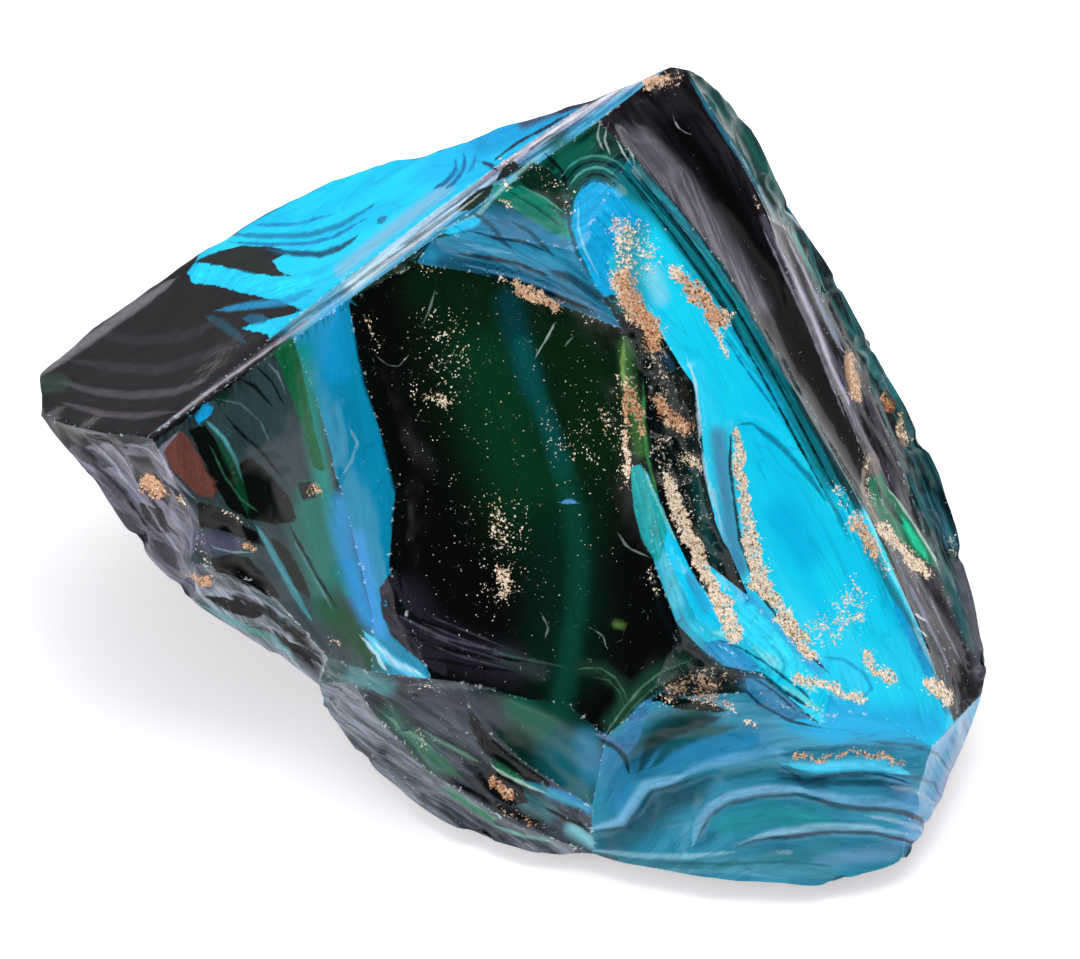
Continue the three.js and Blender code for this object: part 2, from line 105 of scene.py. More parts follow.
CORNERS = {
    "rim": [
        on_top(-41.5, 14.7, 1), on_top(-36.5, 19.7, 1.2), on_top(-27, 24.5, 1), on_top(-21.8, 25.7, 0.5),
        on_top(-15.9, 26.7), on_top(-11.6, 26.7, 0.3), on_top(-6.5, 24.7, 0.3), on_top(-2.2, 25.1),
        on_top(6.7, 24.5, 0.4),
    ],
    "ridge": [tuple(NOSE), *(on_ridge(share) for share in (0.27, 0.375, 0.54, 0.71, 0.86)), tuple(PEAK)],
    "bevel": [on_top(-18.4, 8), on_top(-13.9, 11.2), on_top(-6.7, 16), on_top(0.8, 20.7)],
    "end": [(-40.6, 8.2, 16.8), (-35.5, 3, 20.6)],
    "keel": [
        (-39, 6.5, 15), (-35, 2, 14), (-31.9, -2.6, 11.9), (-27, -6.5, 9.5), (-21.5, -8.5, 6.5),
        (-16.5, -10.5, 3.5),
    ],
    "cheek": [(-27.5, -3.5, 21.5), (-25.5, -6, 19.5), (-26.8, -6.5, 15)],
    "shelf": [(-23.3, -7.5, 15), (-19.5, -9, 13), (-15.5, -11.5, 8.5), (-11.6, -14.5, 10.5)],
    "bandLeft": [(-16, 1, 27), (-13.7, -5.5, 22), (-11.4, -12.5, 15.5)],
    "bandRight": [(-11.7, 1, 27.5), (-9.4, -5.5, 24), (-10, -10.5, 19.5), (-6.6, -17, 13)],
    "sill": [(-3.8, -17.4, 13), (1.4, -18.5, 12.2), (4.5, -19, 12.4), (7.6, -21, 10.5)],
    "slope": [(-3.4, -18.5, 9.6), (1.4, -21.5, 7), (6.5, -24.4, 5.4)],
    "crease": [(-13.5, -13, 7), (-11.6, -15.5, 6), (-6.7, -20.5, 4.5), (-0.1, -24.4, 3)],
    "foot": [
        (-16.3, -11.5, 1.8), (-14, -15, 1.6), (-12.2, -17.8, 1.4), (-9.5, -20.4, 1.3), (-3.6, -24.6, 1.2),
        (2.4, -26.6, 1.2), (6.7, -26.5, 1.6), (11.6, -28.4, 1.8), (21.2, -29.5, 1.8), (25.8, -29.7, 1.2),
        (28.7, -28.9, 1.6), (32, -27.3, 2.2), (33.5, -25.6, 2.8), (35.5, -22, 4), (37.5, -18, 5),
        (39.5, -13, 5.5), (39.9, -11, 6.5),
    ],
    "flank": [
        (39.6, -4.5, 6.5), (38.6, 0, 8), (38.5, 3, 9.5), (36, 7.5, 13), (33.5, 10.6, 16), (31, 14, 19),
        (27.2, 19, 24.2), (24, 21.5, 27.6), (22.6, 23.5, 30), (20.5, 26, 33), (18, 26.7, 37),
        (15.8, 26.6, 39.4),
    ],
    "soffit": [(-8, 11.5, 32), (-3.4, 10.5, 32), (0.1, 9.5, 31.8), (3.4, 8, 31), (9, 6, 30)],
    "ledge": [(-2.6, 12, 35.4), (5.1, 9.4, 35.7), (7, 6.9, 33.5)],
    "jamb": [(9.9, 2, 26), (10.3, -1, 24), (11, -3.5, 22.8)],
    "prongFoot": [(11.6, -9, 18), (13.4, -13, 15.2), (16.5, -16, 13.7), (20, -18, 15)],
    "prongTop": [(12.7, -10.4, 20), (15.5, -15.5, 17)],
    "gutter": [(12.3, -4.5, 22.3), (15.1, -9, 19)],
    "swathLeft": [
        (10.5, 6.5, 32.7), (14.6, 1.3, 28.5), (15.6, -3, 25.2), (16.6, -7.5, 21.7), (19.2, -12.5, 18),
        (22.5, -15.6, 16), (25.6, -19, 14.1),
    ],
    "pocket": [(12.9, -16, 14), (10.7, -18.9, 12.2), (15.3, -18.4, 12.7), (19.9, -18.6, 13.3)],
    "lip": [
        (25.1, -20.9, 11.9), (26.5, -20.4, 13.3), (30.1, -20.6, 12.7), (34.1, -21.4, 9.6), (36.4, -17.8, 8),
    ],
    "swathRight": [
        (9.8, 17.9, 38.4), (12.8, 14.5, 36.6), (17.2, 10.5, 33.1), (22.8, 3.8, 27.2), (28.8, -3.6, 19.7),
        (33.5, -12, 13.2),
    ],
    "groove": [
        (14.3, 25, 41.4), (18.4, 20.9, 36.6), (21.5, 16.7, 32.1), (23.8, 12, 27.5), (26.9, 6.6, 22.5),
        (29.8, 1.8, 18), (32.9, -4.4, 12.4), (36.2, -10.9, 8.9),
    ],
    "strip": [
        (23.2, 18.5, 28.9), (25.6, 15.1, 25.5), (28.8, 11.3, 21.5), (32.2, 6, 16.4), (35.4, -1, 10.3),
        (38.2, -8.8, 6.6),
    ],
    "endEdge": [(33.1, -23.8, 6.9), (32.2, -26, 4.4)],
}

# Lines on the drawing plane that the streams of colour run along.
STREAMS = {
    "top": [(-44, 5), (-34, 5.2), (-29, 7.5), (-24, 15.5), (-18.5, 17.2), (-13, 20.5), (-6, 24.8), (4, 31)],
    "ridge": [(-31.9, 3.5), (-20.3, 11.5), (-8.8, 19.8), (10.7, 34)],
    "end": [(-42, 5), (-34, -2), (-24, -12), (-16, -20)],
    "left": [(-26, 9), (-25, 1), (-21.5, -7), (-15, -16), (-12, -19)],
    "blue": [(-17.5, 16), (-16, 6), (-14.4, -4), (-13, -13), (-9, -19)],
    "window": [(-4, 17), (-2, 9), (0.8, 0), (2.7, -8), (1.8, -20), (3, -28)],
    "low": [(-20, -16), (-10, -23), (2, -31)],
    "ledge": [(-10, 20.5), (-3, 19), (2, 16.4), (7, 12.5)],
    "crown": [(-4, 24), (1, 21.5), (3.5, 22.5), (7, 25.5), (10, 24)],
    "seam": [(6.5, 21), (7.3, 12), (7.7, 3), (10.5, -4), (13.5, -11), (18, -15.5)],
    "swath": [
        (5, 28.5), (7.5, 26.8), (10.6, 23.1), (15, 17.8), (20.5, 8.9), (26.4, -1.6), (31.2, -12.2),
        (34, -20),
    ],
    "edge": [(11, 34), (15.9, 27.6), (21.1, 15), (26.9, 1.4), (33.3, -13.9), (36, -22)],
    "band": [
        (3, -29), (6.5, -28), (8, -25.6), (11, -24.6), (14, -23), (20, -22.2), (27, -22.6), (32, -22),
        (36, -16),
    ],
}

# The faces that show: the corners around each, the two colours that stream through it, the line that they
# stream along, how far apart the streaks lie in mm, how strong they are, and how dull the gloss is.
FACES = {
    "castTop": ("ridge0 bevel0-3 rim8-0 end0-1", "#00B4E6", "#18E0FF", "top", 1.6, 0.4, 0.03),
    "bevel": ("ridge0-6 rim8 bevel3-0", "#1C7CAC", "#58BCE0", "ridge", 0.6, 0.9, 0.15),
    # The lilac greys of leftEnd, lowLeftOuter and lowLeft are in part painted reflection: dark glass that
    # mirrors the pale room.
    "leftEnd": ("end0 keel0-3 cheek2-0 ridge0 end1", "#454552", "#7C7C8E", "end", 1.2, 0.8, 0.1),
    "leftFoot": ("keel3-5 shelf2-0 cheek2", "#4A5258", "#ACB8C4", "end", 1.2, 1.0, 0.1),
    "greenLeft": (
        "ridge0 cheek0-2 shelf0-3 bandLeft2-0 ridge1",
        "#26383A", "#34484C", "left", 1.2, 0.5, 0.06,
    ),
    "blueBand": (
        "ridge1 bandLeft0-2 shelf3 bandRight3-0 ridge2",
        "#047C9C", "#0690BC", "blue", 1.6, 0.4, 0.06,
    ),
    "notch": ("keel5 crease0 shelf3 shelf2", "#16302C", "#4A6A6C", "low", 1.0, 0.9, 0.1),
    "lowLeftOuter": ("keel5 foot0-6 crease3-0", "#444A54", "#8E98A4", "low", 1.3, 1.0, 0.2),
    "lowLeft": (
        "crease0-3 foot6 slope2-0 sill0 bandRight3 shelf3", "#1C2228", "#4E5A66", "low", 1.3, 1.0, 0.2,
    ),
    "greenSlope": ("slope0-2 sill3-0", "#031E16", "#08382E", "low", 1.4, 0.4, 0.05),
    "greatShell": (
        "ridge2 bandRight0-3 sill0-3 pocket1 pocket0 prongFoot1 prongFoot0 jamb2-0 soffit4-0",
        "#020302", "#050904", "window", 3, 0.5, 0.0,
    ),
    "shellCorner": ("ridge2 soffit0 ridge3", "#04140A", "#123A26", "ledge", 0.8, 0.9, 0.1),
    "overLedge": ("soffit0-4 ledge2-0 ridge3", "#1A6A8C", "#2C96BE", "ledge", 1.3, 0.7, 0.1),
    "greenTop": ("ridge3 ledge0-1 swathRight0 ridge5 ridge4", "#032A24", "#0E6450", "crown", 1.0, 0.9, 0.04),
    "channel": ("soffit4 jamb0-2 gutter0-1 swathLeft4-0 ledge2", "#000605", "#021A17", "seam", 0.8, 1.0, 0.3),
    "prongCliff": ("jamb2 prongFoot0-3 prongTop1-0", "#0E98B8", "#22C4E6", "seam", 1.4, 0.6, 0.06),
    "prong": (
        "jamb2 prongTop0-1 prongFoot3 lip0 swathLeft6-4 gutter1-0",
        "#02CCFA", "#24E6FF", "seam", 1.4, 0.7, 0.06,
    ),
    "underProng": ("pocket0-3 lip0 prongFoot3-1", "#050C0A", "#182C2A", "band", 1.2, 0.8, 0.2),
    "swath": ("ledge1-2 swathLeft0-6 lip1-4 swathRight5-0", "#08CCF8", "#1CE8FF", "swath", 2.4, 0.4, 0.03),
    "lipFace": ("lip0-1 swathLeft6", "#1E98C6", "#38BCE6", "band", 1.2, 0.5, 0.06),
    "banded": (
        "sill3 slope2 foot6-11 endEdge1-0 lip3-0 pocket3-1",
        "#227E9A", "#44A2C0", "band", 1.6, 0.6, 0.06,
    ),
    "darkGroove": (
        "ridge5 swathRight0-5 lip4 groove7-0 ridge6",
        "#0E0C0E", "#2C292E", "edge", 0.9, 0.8, 0.06,
    ),
    "streakStrip": ("groove2-7 strip5-0", "#050506", "#4A4654", "edge", 0.9, 1.0, 0.2),
    "peakSide": ("groove0-2 strip0 flank7-11", "#011412", "#064A46", "edge", 0.9, 0.9, 0.08),
    "outerStrip": ("strip0-5 foot16 flank0-7", "#081A1E", "#2A6468", "edge", 0.9, 1.0, 0.15),
    "rightTip": ("lip4 foot15-16 strip5 groove7", "#040405", "#1E1C22", "edge", 0.9, 1.0, 0.2),
    "rightEnd": ("lip4-3 endEdge0-1 foot11-15", "#4E9EC6", "#90CCE2", "edge", 0.9, 0.8, 0.1),
}

# Soft smudges of colour inside the glass: colour, width in mm, strength and the line that each one follows.
WASHES = [
    # cast face
    ("#12B0F0", 5, 0.6, [(-8, 26), (-2, 28.5), (3, 31)]),
    ("#0A86C4", 2.2, 0.6, [(-5, 27.6), (-1, 29.2), (2.4, 30.6)]),
    # bevel along the ridge: a dark start, then pale blue, white and lilac streaks of painted sheen where the
    # rounded ridge mirrors the pale room
    ("#26242A", 2.4, 0.95, [(-32, 3.4), (-27, 7.2), (-21.6, 11.2)]),
    ("#6CA8C0", 1.8, 0.95, [(-20, 12.8), (-14, 17.4), (-8, 22.2)]),
    ("#C0DCE8", 1.1, 0.95, [(-15.5, 16), (-11, 19.4), (-7.4, 22.3), (-4, 25)]),
    ("#BCB8C8", 1.2, 0.95, [(-4.6, 24.9), (-1, 27.4), (3, 30.1), (6, 32), (9, 33.6)]),
    ("#3E4058", 0.9, 0.9, [(-1.4, 29.2), (1.5, 30.4), (4.8, 31.7)]),
    ("#7CB8D6", 1.1, 0.85, [(-16.4, 17.2), (-12, 20.7), (-7.6, 24)]),
    # blue band
    ("#12A0DC", 2.4, 0.6, [(-17, 14), (-16.6, 9)]),
    ("#00887C", 1.6, 0.9, [(-19.6, 10.5), (-18.9, 6), (-18.2, 1.5), (-17, -4), (-15.6, -9)]),
    ("#3A96DC", 2.0, 0.75, [(-15.2, -5), (-14.2, -9), (-13.4, -12.4)]),
    ("#1288C0", 2.2, 0.97, [(-16.2, -2), (-16.3, -4.4), (-15.8, -7)]),
    ("#1A88C4", 1.7, 0.95, [(-15.6, -7.4), (-14.8, -9.8), (-13.8, -12.2)]),
    # left of the band
    ("#2E4248", 4.4, 0.8, [(-23, 7), (-21, 2.4)]),
    ("#1E6C66", 2.2, 0.8, [(-19.8, -3), (-18.8, -7), (-17.6, -10.5)]),
    ("#0A7468", 1.8, 0.85, [(-19.2, -1), (-18.4, -4), (-17, -8)]),
    ("#0B4A1E", 2.2, 0.8, [(-17.5, -10.5), (-15, -12.7), (-13.2, -15)]),
    ("#4E8C90", 1.6, 0.8, [(-15.3, -16.2), (-12.6, -17)]),
    ("#575670", 1.6, 0.85, [(-29, -4.8), (-27, -5.2), (-25.4, -5.4)]),
    ("#4A4A5E", 1.2, 0.8, [(-28.8, -6.6), (-27.2, -8.8)]),
    # left end: the pale rim that hangs clear, and the green tint of the tip
    ("#8A8A98", 1.2, 0.8, [(-41, 5.2), (-38, 4.2), (-34, 3.6), (-32, 3.4)]),
    ("#2E4A3A", 1.8, 0.8, [(-41.6, 8), (-38.5, 8.6)]),
    # great shell: green light in the black
    ("#032610", 11, 0.9, [(-4.4, 12), (-3, 6), (-1, 1), (0.6, -2)]),
    ("#053A1C", 7, 0.8, [(-4, 10), (-2.8, 4), (-1.2, 0)]),
    ("#06280A", 7, 0.8, [(2.6, 11.5), (4.2, 8), (4.4, 3)]),
    ("#04240A", 5, 0.8, [(-9, 16), (-5.6, 14.2)]),
    ("#02261A", 7, 0.8, [(1.6, -5), (2.2, -10), (1.6, -15)]),
    ("#023A3E", 2.4, 0.9, [(-2.6, 14.6), (-1.8, 11.4), (-0.8, 8)]),
    ("#04504E", 1.7, 0.9, [(-1.6, 11), (-0.7, 8), (0.6, 4.6), (1.8, 1)]),
    ("#044838", 2.0, 0.7, [(1.8, 1), (2.8, -3), (3.2, -7), (2.9, -11), (2.2, -16), (1.6, -19)]),
    # painted reflection: grey-lilac sheen of the pale room on the foot of the great shell
    ("#211F2A", 3.4, 0.95, [(-10.9, -9.6), (-9.4, -12.6), (-6, -14.4), (-2.6, -15.2)]),
    ("#2C3C3A", 1.6, 0.85, [(-3, -14.6), (0, -15.8)]),
    ("#1C3A2C", 1.4, 0.8, [(3.4, -15.4), (5, -15.6), (6.6, -16.8), (7.2, -18.4)]),
    ("#1C4434", 1.8, 0.9, [(6, -20), (7.4, -18.2), (9.2, -16.4), (11.6, -15)]),
    ("#5A7A40", 0.6, 0.9, [(6.2, -11.9), (6.7, -12)]),
    # ledge
    ("#184A5E", 1.3, 0.85, [(-8, 17.8), (-4, 16.9), (0, 15.6), (4, 13.8)]),
    ("#2A94BC", 2.0, 0.7, [(-6, 19.7), (-2, 19), (1, 17.6)]),
    ("#0CB0E2", 2.2, 0.95, [(2.8, 20.4), (3.7, 18), (5.3, 15.6)]),
    # green crown
    ("#1C7CA6", 2.8, 0.95, [(-5, 21.3), (-2, 20.8), (1.4, 19.4)]),
    ("#12907E", 1.3, 0.9, [(-3.6, 23.8), (-1, 22.8), (2.2, 20.4)]),
    ("#0E5A4A", 2.4, 0.8, [(1.6, 27.6), (3.6, 25.8)]),
    ("#07524E", 3.2, 0.97, [(3.4, 25.2), (6, 25.2), (8, 24)]),
    ("#10A6DC", 2.4, 0.95, [(3.6, 21.4), (4.8, 23), (8, 21.2)]),
    # swath: the teal streams beside the dark facet, and the lighter and greyer parts
    ("#0C707C", 1.9, 1.0, [
        (6.4, 25.4), (9.6, 22.3), (12.6, 18.6), (15.6, 14.3), (18.6, 9.6), (21.4, 4.6), (24, 0),
    ]),
    ("#04302E", 1.5, 0.95, [
        (7.8, 26.6), (11.4, 22.9), (14.4, 18.9), (17.4, 14.2), (20.4, 9), (23.4, 3.6), (26.2, -2),
    ]),
    ("#1A7C90", 0.8, 0.9, [(26.8, -5), (28.6, -8.5), (31, -13), (33.6, -19)]),
    ("#3F8FB4", 1.6, 0.95, [(14.6, 3.6), (15.1, 0), (15.6, -4), (16.4, -7.4)]),
    ("#08D0FF", 4, 0.5, [(18, 6), (20, 0), (21, -6)]),
    ("#00A4E0", 3, 0.4, [(20, -3), (22, -6)]),
    ("#20D8FF", 1.8, 0.8, [(24, -15.2), (26.6, -16.6)]),
    ("#2E8C98", 2.8, 0.8, [(7.4, 20), (7.2, 17), (7.6, 14.6)]),
    # painted reflection: a soft pale patch on the swath
    ("#7CDCF4", 1.5, 0.85, [(9.3, 17), (9.9, 15)]),
    # seam
    ("#04100C", 1.4, 0.9, [(7, 13), (8.6, 11.6)]),
    ("#3C6E3A", 1.3, 0.9, [(7, 11), (7.3, 8), (7.9, 5), (8.3, 2.4)]),
    ("#123E5A", 0.8, 0.85, [(10, 10.4), (10.6, 9.2)]),
    ("#021C1A", 2.2, 0.9, [(12.8, 2.6), (13.6, -2), (14.8, -7)]),
    ("#0C4A4A", 1.1, 0.7, [(12.6, 1), (13.6, -3.5), (14.4, -6.5)]),
    # prong
    ("#0AD4FF", 2.0, 0.8, [(10.2, -4.4), (11.4, -7.6), (13, -10.8)]),
    ("#3C9CD8", 1.0, 0.5, [(12.4, -8), (13.6, -10.6)]),
    # painted highlights: pale cyan on the prong and along the lip
    ("#70E4F8", 1.3, 0.6, [(10.2, -6.6), (11.2, -10)]),
    ("#7CE8FA", 1.5, 0.7, [(16.6, -11.4), (18, -13.2), (20, -15)]),
    ("#3AA4DC", 1.2, 0.7, [(16.6, -9.2), (18.2, -10.8), (20.4, -13.4), (23, -15.6)]),
    ("#36D6F4", 1.8, 0.7, [(13, -12.4), (16.6, -13.4), (19.5, -15.6)]),
    # under the prong
    ("#1E6A8C", 2, 0.85, [(17.4, -16.8), (20.4, -19)]),
    # banded foot
    ("#10B4EA", 3.4, 0.97, [(24, -19), (27, -19.9), (32, -20.2)]),
    ("#10B4EA", 3.0, 0.97, [(21, -19.2), (24.4, -20.4), (25, -19.4)]),
    ("#167E9C", 2, 0.8, [(14.4, -20.4), (18, -21)]),
    ("#0C4440", 3.2, 0.97, [(8.4, -23), (10, -21), (13, -19.6)]),
    ("#2C606E", 3, 0.9, [(6, -29.6), (9, -27.6), (10.8, -26.2), (12.4, -25.6)]),
    ("#2E9CA8", 2.2, 0.9, [(15.4, -28.4), (19, -27.4), (23, -28)]),
    ("#2C8CBC", 2.4, 0.8, [(9, -23.4), (13, -22.2), (18, -21.4)]),
    ("#1E6C80", 1.2, 0.8, [(12, -25.2), (14.4, -24.2), (19, -23.8), (23, -25)]),
    # the pale lilac blues here are painted highlights, where the foot mirrors the pale table
    ("#5C9ECC", 1.8, 0.85, [(29.4, -25), (31, -27), (30, -29.5)]),
    ("#6CA4C8", 1.4, 0.85, [(23, -31.2), (26, -31), (29, -30.6)]),
    ("#3A8C9E", 1.5, 0.85, [(9, -31.8), (15, -31.8), (20, -31.2), (24, -30.2)]),
    ("#62A4CC", 1.9, 0.9, [(33.6, -21.2), (32.4, -24.8), (31.2, -28.8)]),
    ("#A8B4CE", 0.9, 0.8, [(35, -20), (33.6, -24.4), (32.2, -28)]),
    ("#3C7C8C", 1.2, 0.8, [(4, -31), (8, -31.4), (13, -32)]),
    ("#4E9CB0", 1.6, 0.8, [(14, -31.4), (19, -32), (24, -32.4)]),
    # green slope and low left
    ("#343B48", 2.8, 0.85, [(-9, -17.8), (-6, -18.4), (-4, -19.4)]),
    ("#1C6450", 2.4, 0.85, [(-1.8, -18.8), (0.4, -20.4)]),
    ("#0E6470", 4.4, 0.9, [(2, -22.6), (3.6, -25)]),
    ("#2A86B4", 3.0, 0.9, [(5.2, -22.4), (6.4, -24.2), (7, -26.6)]),
    ("#237CA0", 2.4, 0.9, [(3.9, -21.6), (4.4, -24)]),
    ("#3C7064", 2.2, 0.7, [(-12.4, -19.6), (-8.6, -23.6)]),
    ("#3E7A80", 1.6, 0.8, [(-2.4, -25.8), (0.6, -27.4)]),
    ("#2E90C8", 1.0, 0.95, [(0.8, -25.8), (2.4, -26.2), (4, -27)]),
    ("#7CC4CC", 1.2, 0.9, [(2.6, -28.8), (4.2, -29.8)]),
    # dark groove: lilac greys of painted sheen where the facet mirrors the pale room, beside black bands
    ("#7C7884", 2.4, 0.95, [(8.2, 27.6), (11.8, 23.6), (15.2, 18.6), (17.8, 14)]),
    ("#4E4C58", 1.4, 0.7, [(7, 28.6), (10, 25.8)]),
    ("#040304", 2.2, 0.97, [(11.4, 29), (15.4, 23.4), (19.2, 16.4), (22.6, 9), (25.6, 2.6)]),
    ("#16302C", 1.6, 0.7, [(4.8, 29), (7.2, 26.4)]),
    ("#060607", 2.6, 0.97, [(18.6, 12.6), (21, 8.6), (23.4, 4.6), (25.4, 1)]),
    ("#4A4650", 1.4, 0.8, [(28.6, -4), (30.6, -8), (32, -12)]),
    # strips on the right
    # painted sheen: a pale lilac streak on the dark groove
    ("#5C5A6A", 0.7, 0.9, [(18.4, 21.4), (20.6, 17.2), (22.8, 12.4), (24.6, 8), (26, 4.6)]),
    # painted highlights: emerald glints of light inside the green glass
    ("#0A6A44", 1.2, 0.9, [(16.6, 27.8), (17.6, 26)]),
    ("#12A478", 1.0, 0.9, [(18.1, 25.6), (19, 24)]),
    ("#24807E", 1.0, 0.9, [(21, 20), (22.2, 17.6), (23.4, 15.6)]),
    ("#1E7C84", 0.8, 0.9, [(28.8, 8.4), (29.4, 7)]),
    ("#3A8094", 1.3, 0.8, [(32, -1.6), (33.2, -4), (33.8, -5)]),
    ("#16141A", 3, 0.9, [(32, -11), (34, -15.4)]),
    ("#065450", 2.2, 0.85, [(13.6, 32), (16, 28.6), (18.6, 24.6), (20.4, 21.4)]),
    ("#5A5866", 1.4, 0.8, [(34.6, -7), (36, -12), (36.4, -16)]),
]

